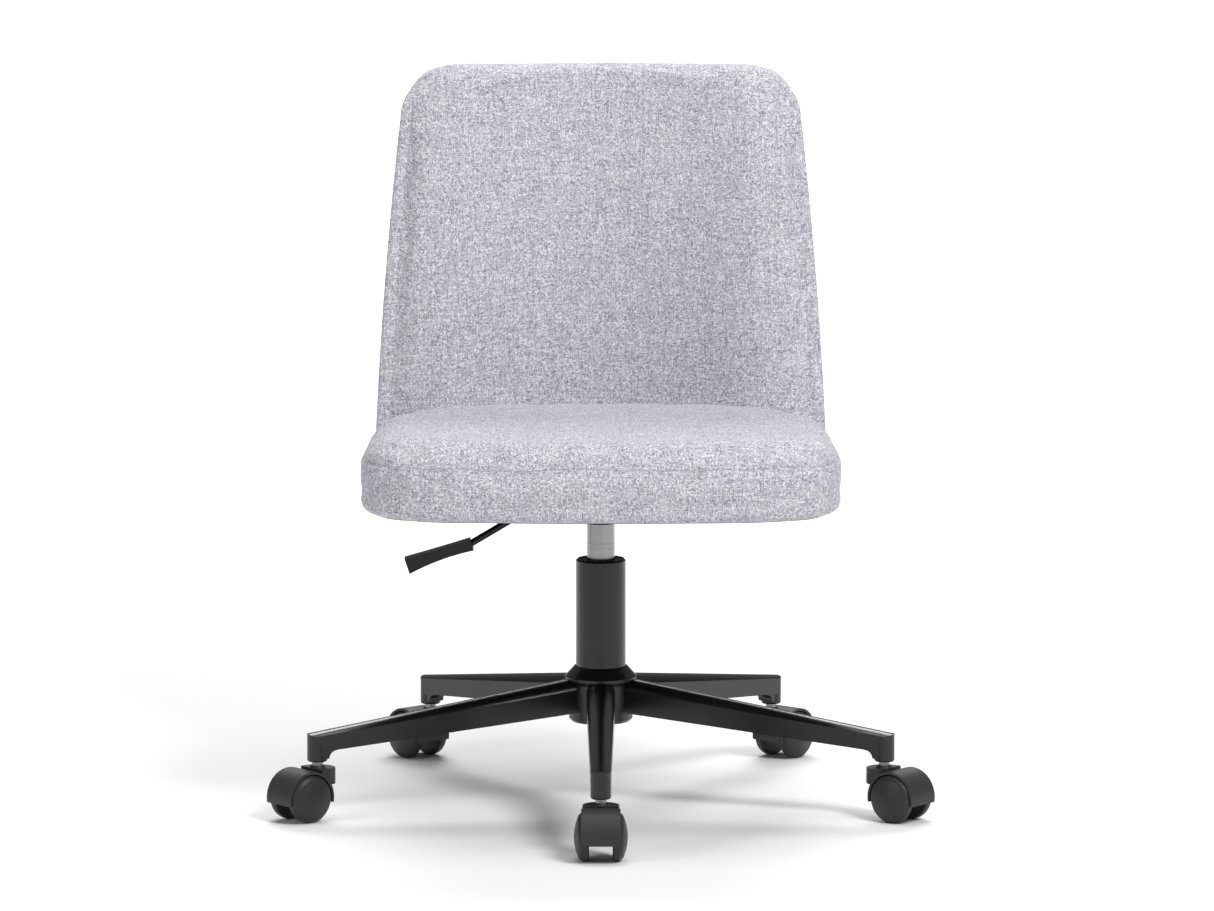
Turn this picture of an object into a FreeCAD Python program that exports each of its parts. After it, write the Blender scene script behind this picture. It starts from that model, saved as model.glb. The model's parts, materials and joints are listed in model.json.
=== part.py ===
# Armless swivel desk chair with a gas lift, a five-leg base and twin-wheel casters.
#
# Units are millimetres. +Z is up, the front of the chair faces -Y and +X is on the sitter's left. The
# origin is on the floor, on the axis of the column.
import FreeCAD, Part
import math
import os

V = FreeCAD.Vector

# Fits
RUN = 0.05              # radial running clearance of a shaft in its hole
SOFT_GAP = 3.0          # room between the seat cushion and the backrest
BOARD_GAP = 8.0         # room between the seat board and the backrest
TOUCH_GAP = 0.3         # room between faces of two moving pieces
CUT_GAP = 1.0           # room round a piece that passes through cloth

# Casters
WHEEL_RADIUS = 24.0
WHEEL_INNER = 11.5      # inner face of a wheel, from the caster's middle plane
WHEEL_TREAD_END = 18.0
WHEEL_SHOULDER = 23.0
SHOULDER_SHARE = 0.75   # shoulder radius as a share of the wheel's
WHEEL_OUTER = 26.4
WHEEL_BORE_END = 21.0
WHEEL_EDGE = 1.5
AXLE_RADIUS = 3.0
AXLE_END_GAP = 0.6
TRAIL = 21.0            # from the stem's axis to the axle
HOOD_GAP = 1.0          # room between the tread and the hood
HOOD_WALL = 2.5
HOOD_HALF_WIDTH = 19.3
HOOD_EDGE_DROP = 5.0    # lower edge of the hood below the axle
WEB_GAP = 0.5           # room between the web and a wheel
STEM_RADIUS = 5.5
STEM_IN_HOOD = 13.5
STEM_CHAMFER = 2.0
STEM_BLOCK_RADIUS = 18.0
STEM_BLOCK_BACK = 7.0
STEM_BLOCK_HEIGHT = 15.5
COLLAR_HEIGHT = 2.5
COLLAR_FLARE = 2.5      # foot of the collar beyond the stem
COLLAR_LAND = 1.0       # top of the collar beyond the stem

# Base. Heights are above the lower end of the caster sockets.
LEG_REACH = 297.0       # from the column's axis to a caster's stem
SOCKET_CLEARANCE = 4.0  # from a caster's collar to its socket
SOCKET_WALL = 3.35
SOCKET_CHAMFER = 1.2
SLEEVE_WALL = 1.3
SLEEVE_LENGTH = 24.0
STEM_IN_SLEEVE = 22.0
LEG_ROOT = 37.0
LEG_TOP_AT_ROOT = 68.5
LEG_TOP_AT_END = 29.6
LEG_LOW_AT_ROOT = 35.2
LEG_LOW_AT_END = 10.3
LEG_WIDTH_AT_ROOT = 28.6
LEG_WIDTH_AT_END = 20.0
LEG_CROWN_AT_ROOT = 10.0
LEG_CROWN_AT_END = 3.2
LEG_WALL = 3.0
LEG_WEB_RADIUS = 8.0
LEG_WEB_INSET = 1.5
LEG_HOLLOW_START = 12.0  # from the hub to the hollow under a leg
HUB_LOW_RISE = 25.0
HUB_RIM_RISE = 70.6
HUB_TOP_RISE = 81.0
HUB_WALL = 7.0
HUB_FLARE = 4.0
HUB_RIM_HEIGHT = 3.0
HUB_CHAMFER = 3.0
HUB_LIP = 1.5
HUB_LIP_ROUND = 1.0

# Gas lift
COLUMN_RADIUS = 25.0
COLUMN_TAPER = 1.0      # the foot of the tube is this much smaller in radius
COLUMN_WALL = 2.0
COLUMN_TOP = 247.5
COLUMN_RIM = 1.6
FOOT_RISE = 1.0         # foot of the tube above the hub's lower face
END_PLATE = 3.0
BUSH_LENGTH = 60.0
BUSH_DROP = 0.8
CYLINDER_RADIUS = 14.0
CYLINDER_WALL = 2.0
CYLINDER_TAPER = 0.8    # the tip is this much smaller in radius
SOCKET_Z = 284.0
CYLINDER_TOP = 306.0
VALVE_BLOCK = 16.0
GLAND_LENGTH = 12.0
ROD_RADIUS = 5.0
ROD_COLLAR = 2.0
PISTON_LENGTH = 10.0
PISTON_GAP = 2.0        # from the gland to the piston at the top of the travel
ROD_TAIL = 5.0
CLIP_RADIUS = 9.0
CLIP_THICKNESS = 1.6
CLIP_GAP = 0.2
RACE_THICKNESS = 2.0
RACE_RADIUS = 12.0
RACE_BORE = 6.0
BALL_SPACE = 5.0
BALL_GAP = 0.02
BALL_COUNT = 9
ROD_COLLAR_HEIGHT = 2.0
BUMPER_LENGTH = 10.0
BUMPER_GAP = 1.0        # from the bumper to the cylinder at the bottom of the travel
LIFT_UP = 70.0          # travel of the seat above its stored height
LIFT_DOWN = 15.0        # travel of the seat below its stored height
BUTTON_RADIUS = 4.0
BUTTON_LENGTH = 11.7
BUTTON_DOME = 1.5
BUTTON_TRAVEL = 4.0
BUTTON_STAND = 0.7      # what still stands out of the cylinder when the button is pressed
BUTTON_FLOOR_GAP = 0.5

# Seat
SEAT_FRONT = 232.0      # reach of the cushion in front of the column's axis
SEAT_REAR = 215.0
SEAT_LOW_AT_FRONT = 319.0
SEAT_RAKE = 1.8         # degrees, the rear is lower
SEAT_HALF_WIDTH = 238.6
SEAT_REAR_HALF_WIDTH = 208.0
SEAT_CORNER = 66.0
SEAT_BOW = 5.0          # the middle of the front edge stands out this far
SEAT_SIDE_SWELL = 3.0   # the sides swell this far beyond the corners
SEAT_WIDEST = 0.3       # share of the front reach at which the seat is widest
SEAT_THICKNESS = 70.0
SEAT_TOP_ROUND = 22.0
SEAT_LOW_ROUND = 9.0
BOARD_THICKNESS = 12.0
BOARD_INSET = 18.0
CLOTH_THICKNESS = 1.2
CLOTH_INSET = 14.0

# Seat plate
PLATE_HALF_X = 95.0
PLATE_HALF_Y = 75.0
PLATE_CORNER = 12.0
PLATE_GAUGE = 2.5
PAN_HALF_X = 50.0
PAN_HALF_Y = 36.0
PAN_DEPTH = 24.5
PAN_CORNER = 8.0
TAPER_SOCKET_WALL = 4.0
TAPER_SOCKET_HEIGHT = 18.0
TAPER_SOCKET_EDGE = 1.0
PLATE_BOLT_X = 80.0
PLATE_BOLT_Y = 58.0
BOLT_RADIUS = 3.0
BOLT_HEAD_RADIUS = 6.0
BOLT_HEAD = 3.5
NUT_BARREL = 4.5
NUT_FLANGE_RADIUS = 9.0
NUT_FLANGE = 1.2

# Release lever, a bent rod in the plane Y = 0
LEVER_RADIUS = 3.5
LEVER_ARM = 38.0        # from the valve button's axis to the pivot
LEVER_END = 6.0
LEVER_BEND = 43.0
GRIP_START_X = 132.0
GRIP_START_Z = 261.5
GRIP_END_X = 194.0
GRIP_END_Z = 240.5
GRIP_HALF_Y = 9.0
GRIP_LEAD = 3.0         # the grip starts this far before the rod's second bend
GRIP_TOP = (5.5, 6.5, 8.0)      # height above the axis at the start, the middle and the end
GRIP_LOW = (6.0, 4.6, 8.0)      # depth below the axis at the start, the middle and the end
LEVER_IN_GRIP = 30.0
EYE_RADIUS = 6.0
EYE_HALF = 5.5
LEVER_PIN_RADIUS = 2.5
LEVER_PIN_END = 1.0
EAR_GAUGE = 2.5
EAR_GAP = 0.5
EAR_HALF_X = 6.0
EAR_FOOT_GAP = 0.4
LEVER_POCKET = 32.0     # length of the board's pocket beyond the lever's pivot
SLOT_GAP = 2.5          # room beside the lever in the pan's wall

# Backrest
BACK_LOW = 309.0
BACK_TOP = 719.0
BACK_CORNER = 48.0
BACK_Z_AT_SEAT = 372.0
BACK_Y_AT_SEAT = 170.0  # front face of the back pad at the seat's rear
BACK_LEAN = 0.16
BACK_LEAN_CURVE = 0.00012
BACK_HALF_WIDTH = 226.6
BACK_TAPER = 0.045
BACK_TAPER_CURVE = 0.000114
WING_DEPTH = 70.0       # reach of the wings in front of the middle of the pad, at the seat
WING_FADE = 0.12
BACK_THICKNESS = 46.0
BACK_THINNING = 0.036
RIM_THICKNESS = 30.0
BACK_ROUNDNESS = 3.2    # exponent of the plan curve: 2 is an ellipse, larger is squarer
SHELL_THICKNESS = 6.0
COVER_SIDE = 8.0
COVER_REAR = 12.0
COVER_GAP = 0.3         # room between the cover and what it covers
SHELL_INSET = 10.0

# Back brackets
BRACKET_X = 60.0
BRACKET_WIDTH = 30.0
BRACKET_GAUGE = 4.0
BRACKET_FRONT = 84.0
BRACKET_RISE = 120.0
BRACKET_GAP = 0.6
BRACKET_BOLTS = (14.0, 44.0)    # behind the front end of a bracket
UPRIGHT_BOLTS = (0.5, 0.88)     # as shares of the upright's height
SHELL_NUT = 4.5
SHELL_NUT_REACH = 7.0   # from the shell's rear face to the front of a nut
SHELL_BOLT_REACH = 8.0
POCKET_GAP = 0.5

FAR = 40.0              # how far cutting bodies reach beyond what they cut

OUT = "parts"

# Values that follow from the ones above
HOOD_RADIUS = WHEEL_RADIUS + HOOD_GAP + HOOD_WALL
HOOD_TOP = WHEEL_RADIUS + HOOD_RADIUS
COLLAR_TOP = HOOD_TOP + COLLAR_HEIGHT
STEM_LOW = HOOD_TOP - STEM_IN_HOOD
WEB_HALF = WHEEL_INNER - WEB_GAP
SOCKET_LOW = COLLAR_TOP + SOCKET_CLEARANCE
SOCKET_RADIUS = STEM_RADIUS + RUN + SLEEVE_WALL + SOCKET_WALL
HUB_LOW = SOCKET_LOW + HUB_LOW_RISE
HUB_RIM_TOP = SOCKET_LOW + HUB_RIM_RISE
HUB_TOP = SOCKET_LOW + HUB_TOP_RISE
HUB_RADIUS = COLUMN_RADIUS + HUB_WALL
HUB_RIM_RADIUS = HUB_RADIUS + HUB_FLARE
HUB_RIM_LOW = HUB_RIM_TOP - HUB_RIM_HEIGHT
COLUMN_FOOT_RADIUS = COLUMN_RADIUS - COLUMN_TAPER
COLUMN_LOW = HUB_LOW + FOOT_RISE
PLATE_TOP = COLUMN_LOW + END_PLATE
RACE_TOP = PLATE_TOP + RACE_THICKNESS
UPPER_RACE = RACE_TOP + BALL_SPACE
ROD_COLLAR_LOW = UPPER_RACE + RACE_THICKNESS
BUMPER_LOW = ROD_COLLAR_LOW + ROD_COLLAR_HEIGHT
BUMPER_TOP = BUMPER_LOW + BUMPER_LENGTH
CYLINDER_LOW = BUMPER_TOP + LIFT_DOWN + BUMPER_GAP
PISTON_LOW = CYLINDER_LOW + GLAND_LENGTH + LIFT_UP + PISTON_GAP
PISTON_TOP = PISTON_LOW + PISTON_LENGTH
BORE_RADIUS = CYLINDER_RADIUS - CYLINDER_WALL
CYLINDER_TIP_RADIUS = CYLINDER_RADIUS - CYLINDER_TAPER
TAPER_SOCKET_RADIUS = CYLINDER_RADIUS + TAPER_SOCKET_WALL
VALVE_LOW = CYLINDER_TOP - VALVE_BLOCK
BUTTON_TOP = CYLINDER_TOP + BUTTON_TRAVEL + BUTTON_STAND
LEVER_Z = BUTTON_TOP + TOUCH_GAP + LEVER_RADIUS
EAR_INNER = EYE_HALF + EAR_GAP
EAR_OUTER = EAR_INNER + EAR_GAUGE
SEAT_Z = SEAT_LOW_AT_FRONT - SEAT_FRONT * math.tan(math.radians(SEAT_RAKE))

# Compass headings in degrees of each leg and of each caster's trail; -90 is the front
LEGS = {
    "front": (-90.0, -90.0),
    "right": (-18.0, -38.0),
    "rear_right": (54.0, 49.5),
    "rear_left": (126.0, 130.5),
    "left": (198.0, 218.0),
}


# ---------------------------------------------------------------- small helpers

def block(x0, x1, y0, y1, z0, z1):
    """Box between two corners."""
    return Part.makeBox(x1 - x0, y1 - y0, z1 - z0, V(x0, y0, z0))


def rod(radius, z0, z1, x=0.0, y=0.0):
    """Upright cylinder."""
    return Part.makeCylinder(radius, z1 - z0, V(x, y, z0))


def cross_rod(radius, y0, y1, x, z):
    """Cylinder along Y."""
    return Part.makeCylinder(radius, y1 - y0, V(x, y0, z), V(0, 1, 0))


def ring(outer, inner, z0, z1):
    """Upright tube."""
    return rod(outer, z0, z1).cut(rod(inner, z0 - 1, z1 + 1))


def turned(points):
    """Solid of revolution about Z from (radius, height) points."""
    corners = [V(r, 0, z) for r, z in points]
    corners.append(corners[0])
    face = Part.Face(Part.makePolygon(corners))
    return face.revolve(V(0, 0, 0), V(0, 0, 1), 360)


def bar(a, b, radius):
    """Round bar from point a to point b."""
    return Part.makeCylinder(radius, (b - a).Length, a, b - a)


def placed(shape, heading, x=0.0, y=0.0):
    """Copy turned about Z by a heading in degrees, then moved."""
    copy = shape.copy()
    copy.rotate(V(0, 0, 0), V(0, 0, 1), heading)
    copy.translate(V(x, y, 0))
    return copy


def raked(shape):
    """Copy moved from the level seat frame (z = 0 under the board) to the tilted seat."""
    copy = shape.copy()
    copy.translate(V(0, 0, SEAT_Z))
    copy.rotate(V(0, 0, SEAT_Z), V(1, 0, 0), -SEAT_RAKE)
    return copy


def joined(shapes):
    """One solid from shapes that overlap."""
    return shapes[0].multiFuse(shapes[1:]).removeSplitter()


def group(shapes):
    """Separate solids in one node."""
    solids = []
    for shape in shapes:
        solids.extend(shape.Solids)
    return Part.makeCompound(solids)


def save(name, shape):
    """Write one node and report how many solids it holds."""
    solids = shape.Solids
    kept = solids[0] if len(solids) == 1 else Part.makeCompound(solids)
    kept.exportStep(os.path.join(OUT, name + ".step"))
    state = "valid" if kept.isValid() else "NOT VALID"
    print(f"{name:24s} {len(solids):3d} solids {kept.Volume / 1000:10.2f} cm3 {state}")


# ---------------------------------------------------------------- base

def hub():
    """Turned hub with a tapered bore for the column."""
    return turned([
        (HUB_RADIUS - HUB_CHAMFER, HUB_LOW),
        (HUB_RADIUS, HUB_LOW + HUB_CHAMFER),
        (HUB_RADIUS, HUB_RIM_LOW - HUB_FLARE),
        (HUB_RIM_RADIUS, HUB_RIM_LOW),
        (HUB_RIM_RADIUS, HUB_RIM_TOP),
        (COLUMN_RADIUS + HUB_LIP + HUB_LIP_ROUND, HUB_TOP - HUB_LIP_ROUND),
        (COLUMN_RADIUS + HUB_LIP, HUB_TOP),
        (COLUMN_RADIUS, HUB_TOP),
        (COLUMN_RADIUS, HUB_RIM_TOP),
        (COLUMN_FOOT_RADIUS, COLUMN_LOW),
        (COLUMN_FOOT_RADIUS, HUB_LOW),
    ])


def along_leg(reach, at_root, at_end):
    """Value that changes evenly from a leg's root to its caster socket."""
    share = (reach - LEG_ROOT) / (LEG_REACH - LEG_ROOT)
    return at_root + (at_end - at_root) * share


def leg_low(reach):
    """Height of a leg's lower edges."""
    return SOCKET_LOW + along_leg(reach, LEG_LOW_AT_ROOT, LEG_LOW_AT_END)


def leg_section(reach, inset=0.0, drop=0.0):
    """Section of a leg across its length: an arched top on upright sides."""
    top = SOCKET_LOW + along_leg(reach, LEG_TOP_AT_ROOT, LEG_TOP_AT_END) - inset
    low = leg_low(reach) - drop
    half = along_leg(reach, LEG_WIDTH_AT_ROOT, LEG_WIDTH_AT_END) / 2 - inset
    crown = along_leg(reach, LEG_CROWN_AT_ROOT, LEG_CROWN_AT_END)
    left = V(reach, -half, top - crown)
    right = V(reach, half, top - crown)
    low_left = V(reach, -half, low)
    low_right = V(reach, half, low)
    sides = [
        Part.makeLine(low_left, left),
        Part.Arc(left, V(reach, 0, top), right).toShape(),
        Part.makeLine(right, low_right),
        Part.makeLine(low_right, low_left),
    ]
    return Part.Wire(sides)


def leg():
    """One leg along +X: an arched channel, open below, with a round caster socket at its end."""
    hub_overlap = 4.0
    outer = Part.makeLoft(
        [leg_section(HUB_RADIUS - hub_overlap), leg_section(LEG_REACH + SOCKET_RADIUS)], True, True
    )
    beyond = block(LEG_REACH, LEG_REACH + FAR, -FAR, FAR, 0, HUB_TOP)
    outer = outer.cut(beyond.cut(rod(SOCKET_RADIUS, -FAR, HUB_TOP + FAR, LEG_REACH)))
    web_x = LEG_REACH - SOCKET_RADIUS - LEG_WEB_RADIUS
    hollow_start = leg_section(HUB_RADIUS + LEG_HOLLOW_START, LEG_WALL, LEG_WALL)
    hollow_end = leg_section(web_x, LEG_WALL, LEG_WALL)
    outer = outer.cut(Part.makeLoft([hollow_start, hollow_end], True, True))
    low = leg_low(LEG_REACH - SOCKET_RADIUS)
    socket = rod(SOCKET_RADIUS, SOCKET_LOW + SOCKET_CHAMFER, low + LEG_WEB_RADIUS, LEG_REACH)
    foot = Part.makeCone(
        SOCKET_RADIUS - SOCKET_CHAMFER, SOCKET_RADIUS, SOCKET_CHAMFER, V(LEG_REACH, 0, SOCKET_LOW)
    )
    half = LEG_WIDTH_AT_END / 2 - LEG_WEB_INSET
    web = block(web_x, LEG_REACH - STEM_RADIUS, -half, half, low - LEG_WEB_RADIUS, low + LEG_WALL)
    web = web.cut(cross_rod(LEG_WEB_RADIUS, -FAR, FAR, web_x, low - LEG_WEB_RADIUS))
    shape = joined([outer, socket, foot, web])
    bore = rod(SOCKET_RADIUS - SOCKET_WALL, SOCKET_LOW - 1, SOCKET_LOW + SLEEVE_LENGTH, LEG_REACH)
    inside_hub = turned([
        (0, HUB_LOW - FAR), (HUB_RADIUS, HUB_LOW - FAR), (HUB_RADIUS, HUB_RIM_LOW - HUB_FLARE),
        (HUB_RIM_RADIUS, HUB_RIM_LOW), (HUB_RIM_RADIUS, HUB_TOP), (0, HUB_TOP),
    ])
    return shape.cut(bore).cut(inside_hub)


def sleeve():
    """Plastic sleeve that holds a caster's stem in its socket, for a leg along +X."""
    inner = STEM_RADIUS + RUN
    shape = ring(inner + SLEEVE_WALL, inner, SOCKET_LOW, SOCKET_LOW + SLEEVE_LENGTH)
    shape.translate(V(LEG_REACH, 0, 0))
    return shape


def column_tube():
    """Outer tube of the gas lift: tapered foot in the hub, end plate, bevelled rim."""
    inner = COLUMN_RADIUS - COLUMN_WALL
    foot = COLUMN_FOOT_RADIUS - COLUMN_WALL
    return turned([
        (ROD_RADIUS + RUN, COLUMN_LOW), (COLUMN_FOOT_RADIUS, COLUMN_LOW), (COLUMN_RADIUS, HUB_RIM_TOP),
        (COLUMN_RADIUS, COLUMN_TOP - COLUMN_RIM), (COLUMN_RADIUS - COLUMN_RIM, COLUMN_TOP),
        (inner, COLUMN_TOP), (inner, HUB_RIM_TOP), (foot, PLATE_TOP), (ROD_RADIUS + RUN, PLATE_TOP),
    ])


def column_bush():
    """Guide bush inside the top of the tube, a little below its rim."""
    top = COLUMN_TOP - BUSH_DROP
    return ring(COLUMN_RADIUS - COLUMN_WALL, CYLINDER_RADIUS + RUN, top - BUSH_LENGTH, top)


def bearing_balls():
    """Ring of balls between the two races."""
    radius = BALL_SPACE / 2 - BALL_GAP
    pitch = (RACE_RADIUS + RACE_BORE) / 2
    balls = []
    for i in range(BALL_COUNT):
        turn = 2 * math.pi * i / BALL_COUNT
        centre = V(pitch * math.cos(turn), pitch * math.sin(turn), RACE_TOP + BALL_SPACE / 2)
        balls.append(Part.makeSphere(radius, centre))
    return group(balls)


def make_base():
    """Hub, legs, sleeves, column tube and the lower half of the bearing."""
    save("base_hub", hub())
    one_leg = leg()
    one_sleeve = sleeve()
    sleeves = []
    for name in LEGS:
        heading = LEGS[name][0]
        save("leg_" + name, placed(one_leg, heading))
        sleeves.append(placed(one_sleeve, heading))
    save("caster_sleeves", group(sleeves))
    save("column_tube", column_tube())
    save("column_bush", column_bush())
    save("bearing_lower_race", ring(RACE_RADIUS, RACE_BORE, PLATE_TOP, RACE_TOP))
    save("bearing_balls", bearing_balls())


# ---------------------------------------------------------------- spindle

def piston_rod():
    """Rod that stands on the bearing and carries the piston inside the cylinder."""
    tail = COLUMN_LOW - CLIP_THICKNESS - ROD_TAIL
    collar = rod(ROD_RADIUS + ROD_COLLAR, ROD_COLLAR_LOW, BUMPER_LOW)
    piston = rod(BORE_RADIUS - RUN, PISTON_LOW, PISTON_TOP)
    return joined([rod(ROD_RADIUS, tail, PISTON_TOP), collar, piston])


def make_spindle():
    """The pieces that turn in the column but do not rise."""
    clip_top = COLUMN_LOW - CLIP_GAP
    save("piston_rod", piston_rod())
    save("retaining_clip", ring(CLIP_RADIUS, ROD_RADIUS, clip_top - CLIP_THICKNESS, clip_top))
    save("bearing_upper_race", ring(RACE_RADIUS, ROD_RADIUS, UPPER_RACE, ROD_COLLAR_LOW))
    save("bumper", ring(RACE_RADIUS, ROD_RADIUS, BUMPER_LOW, BUMPER_TOP))


# ---------------------------------------------------------------- lift, plate and lever

def gas_cylinder():
    """Pressure cylinder: plain below, tapered tip with the valve bore above."""
    valve_bore = BUTTON_RADIUS + RUN
    valve_floor = BUTTON_TOP - BUTTON_LENGTH - BUTTON_TRAVEL - BUTTON_FLOOR_GAP
    return turned([
        (BORE_RADIUS, CYLINDER_LOW), (CYLINDER_RADIUS, CYLINDER_LOW), (CYLINDER_RADIUS, SOCKET_Z),
        (CYLINDER_TIP_RADIUS, CYLINDER_TOP), (valve_bore, CYLINDER_TOP), (valve_bore, valve_floor),
        (0, valve_floor), (0, VALVE_LOW), (BORE_RADIUS, VALVE_LOW),
    ])


def taper_socket():
    """Steel ring with a tapered bore that seats on the cylinder's tip."""
    top = SOCKET_Z + TAPER_SOCKET_HEIGHT
    share = TAPER_SOCKET_HEIGHT / (CYLINDER_TOP - SOCKET_Z)
    tip = CYLINDER_RADIUS - CYLINDER_TAPER * share
    return turned([
        (CYLINDER_RADIUS, SOCKET_Z), (TAPER_SOCKET_RADIUS - TAPER_SOCKET_EDGE, SOCKET_Z),
        (TAPER_SOCKET_RADIUS, SOCKET_Z + TAPER_SOCKET_EDGE), (TAPER_SOCKET_RADIUS, top), (tip, top),
    ])


def bolt_places():
    """Centres of the four bolts of the seat plate."""
    return [(sx * PLATE_BOLT_X, sy * PLATE_BOLT_Y) for sx in (-1, 1) for sy in (-1, 1)]


def upright_edges(shape):
    """Edges of a level plate that run up and down."""
    return [e for e in shape.Edges if abs(e.Vertexes[0].Z - e.Vertexes[1].Z) > PLATE_GAUGE / 2]


def seat_plate():
    """Pressed plate: a flange under the board and a pan that carries the socket."""
    flange = block(-PLATE_HALF_X, PLATE_HALF_X, -PLATE_HALF_Y, PLATE_HALF_Y, -PLATE_GAUGE, 0)
    flange = flange.makeFillet(PLATE_CORNER, upright_edges(flange))
    pan = block(-PAN_HALF_X, PAN_HALF_X, -PAN_HALF_Y, PAN_HALF_Y, -PAN_DEPTH, -PLATE_GAUGE / 2)
    pan = pan.makeFillet(PAN_CORNER, upright_edges(pan))
    inner_x = PAN_HALF_X - PLATE_GAUGE
    inner_y = PAN_HALF_Y - PLATE_GAUGE
    pan_floor = -PAN_DEPTH + PLATE_GAUGE
    shape = flange.fuse(pan).cut(block(-inner_x, inner_x, -inner_y, inner_y, pan_floor, 1))
    for x, y in bolt_places():
        shape = shape.cut(rod(BOLT_RADIUS, -PLATE_GAUGE - 1, 1, x, y))
    slot_half = LEVER_RADIUS + SLOT_GAP
    slot_low = -PAN_DEPTH + PAN_CORNER
    shape = shape.cut(block(-PAN_HALF_X - PAN_DEPTH, -inner_x + 1, -slot_half, slot_half, slot_low, 1))
    shape = raked(shape)
    return shape.cut(rod(TAPER_SOCKET_RADIUS, SOCKET_Z - FAR, SOCKET_Z + FAR))


def lever_bracket():
    """Two ears that stand in the pan and hold the lever's pin."""
    floor = SEAT_Z - PAN_DEPTH + PLATE_GAUGE + EAR_FOOT_GAP
    x0 = -LEVER_ARM - EAR_HALF_X
    x1 = -LEVER_ARM + EAR_HALF_X
    pieces = [block(x0, x1, -EAR_OUTER, EAR_OUTER, floor, floor + EAR_GAUGE)]
    for low, high in ((-EAR_OUTER, -EAR_INNER), (EAR_INNER, EAR_OUTER)):
        pieces.append(block(x0, x1, low, high, floor, LEVER_Z))
        pieces.append(cross_rod(EAR_HALF_X, low, high, -LEVER_ARM, LEVER_Z))
    return joined(pieces).cut(cross_rod(LEVER_PIN_RADIUS, -FAR, FAR, -LEVER_ARM, LEVER_Z))


def lever_pin():
    """Pin through the ears and the lever's eye."""
    half = EAR_OUTER + LEVER_PIN_END
    return cross_rod(LEVER_PIN_RADIUS, -half, half, -LEVER_ARM, LEVER_Z)


def grip_direction():
    """Start point and unit direction of the grip's axis."""
    start = V(-GRIP_START_X, 0, GRIP_START_Z)
    end = V(-GRIP_END_X, 0, GRIP_END_Z)
    return start, (end - start).normalize()


def lever_rod():
    """Bent rod: a flat end above the valve button, an eye at the pivot, a tail inside the grip."""
    inner = V(LEVER_END, 0, LEVER_Z)
    bend = V(-LEVER_BEND, 0, LEVER_Z)
    start, along = grip_direction()
    tail = start + along * LEVER_IN_GRIP
    pieces = [
        bar(inner, bend, LEVER_RADIUS), Part.makeSphere(LEVER_RADIUS, bend),
        bar(bend, start, LEVER_RADIUS), Part.makeSphere(LEVER_RADIUS, start),
        bar(start, tail, LEVER_RADIUS),
        cross_rod(EYE_RADIUS, -EYE_HALF, EYE_HALF, -LEVER_ARM, LEVER_Z),
    ]
    shape = joined(pieces)
    return shape.cut(cross_rod(LEVER_PIN_RADIUS + RUN, -FAR, FAR, -LEVER_ARM, LEVER_Z))


def lever_grip():
    """Flat paddle on the rod's tail, hollow below and taller at its end."""
    start, along = grip_direction()
    up = V(-along.z, 0, along.x) * math.copysign(1.0, along.x)
    length = (GRIP_END_X - GRIP_START_X) / abs(along.x)

    def at(distance, height):
        return start + along * distance + up * height

    stations = (-GRIP_LEAD, length / 2, length)
    above = [at(distance, height) for distance, height in zip(stations, GRIP_TOP)]
    below = [at(distance, -depth) for distance, depth in zip(stations, GRIP_LOW)]
    top = Part.BSplineCurve()
    top.interpolate(above)
    low = Part.BSplineCurve()
    low.interpolate(below)
    edges = [
        top.toShape(), Part.makeLine(above[-1], below[-1]),
        low.toShape(), Part.makeLine(below[0], above[0]),
    ]
    face = Part.Face(Part.Wire(Part.__sortEdges__(edges)))
    face.translate(V(0, -GRIP_HALF_Y, 0))
    shape = face.extrude(V(0, 2 * GRIP_HALF_Y, 0))
    hole = joined([
        bar(start - along * LEVER_RADIUS, start + along * LEVER_IN_GRIP, LEVER_RADIUS),
        bar(V(-LEVER_BEND, 0, LEVER_Z), start, LEVER_RADIUS),
        Part.makeSphere(LEVER_RADIUS, start),
    ])
    return shape.cut(hole)


def valve_button():
    """Button in the cylinder's tip with a domed head."""
    low = BUTTON_TOP - BUTTON_LENGTH
    ball = (BUTTON_RADIUS ** 2 + BUTTON_DOME ** 2) / (2 * BUTTON_DOME)
    dome = Part.makeSphere(ball, V(0, 0, BUTTON_TOP - ball))
    head = rod(BUTTON_RADIUS, low, BUTTON_TOP).common(dome)
    return rod(BUTTON_RADIUS, low, BUTTON_TOP - BUTTON_DOME).fuse(head).removeSplitter()


# ---------------------------------------------------------------- seat

def seat_plan(inset):
    """Outline of the seat in plan: bowed front, round corners, sides that swell and close in."""
    front = -SEAT_FRONT + inset
    half = SEAT_HALF_WIDTH - inset
    rear_half = SEAT_REAR_HALF_WIDTH - inset
    corner = SEAT_CORNER - inset
    shoulder = front + SEAT_BOW
    side_front = half - SEAT_SIDE_SWELL
    corner_end = shoulder + corner
    diagonal = corner * (1 - math.sqrt(0.5))
    widest = -SEAT_WIDEST * SEAT_FRONT

    def mirrored(x, y):
        return V(-x, y, 0)

    start = V(side_front - corner, shoulder, 0)
    turn = V(side_front - diagonal, shoulder + diagonal, 0)
    corner_out = V(side_front, corner_end, 0)
    side_mid = V(half, widest, 0)
    rear = V(rear_half, SEAT_REAR - inset, 0)
    edges = [
        Part.Arc(mirrored(start.x, start.y), V(0, front, 0), start).toShape(),
        Part.Arc(start, turn, corner_out).toShape(),
        Part.Arc(corner_out, side_mid, rear).toShape(),
        Part.makeLine(rear, mirrored(rear.x, rear.y)),
        Part.Arc(
            mirrored(rear.x, rear.y), mirrored(half, widest), mirrored(side_front, corner_end)
        ).toShape(),
        Part.Arc(
            mirrored(side_front, corner_end), mirrored(turn.x, turn.y), mirrored(start.x, start.y)
        ).toShape(),
    ]
    return Part.Face(Part.Wire(edges))


def level_slab(inset, z0, z1):
    """Prism of the seat's plan between two heights of the level seat frame."""
    face = seat_plan(inset)
    face.translate(V(0, 0, z0))
    return face.extrude(V(0, 0, z1 - z0))


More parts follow.
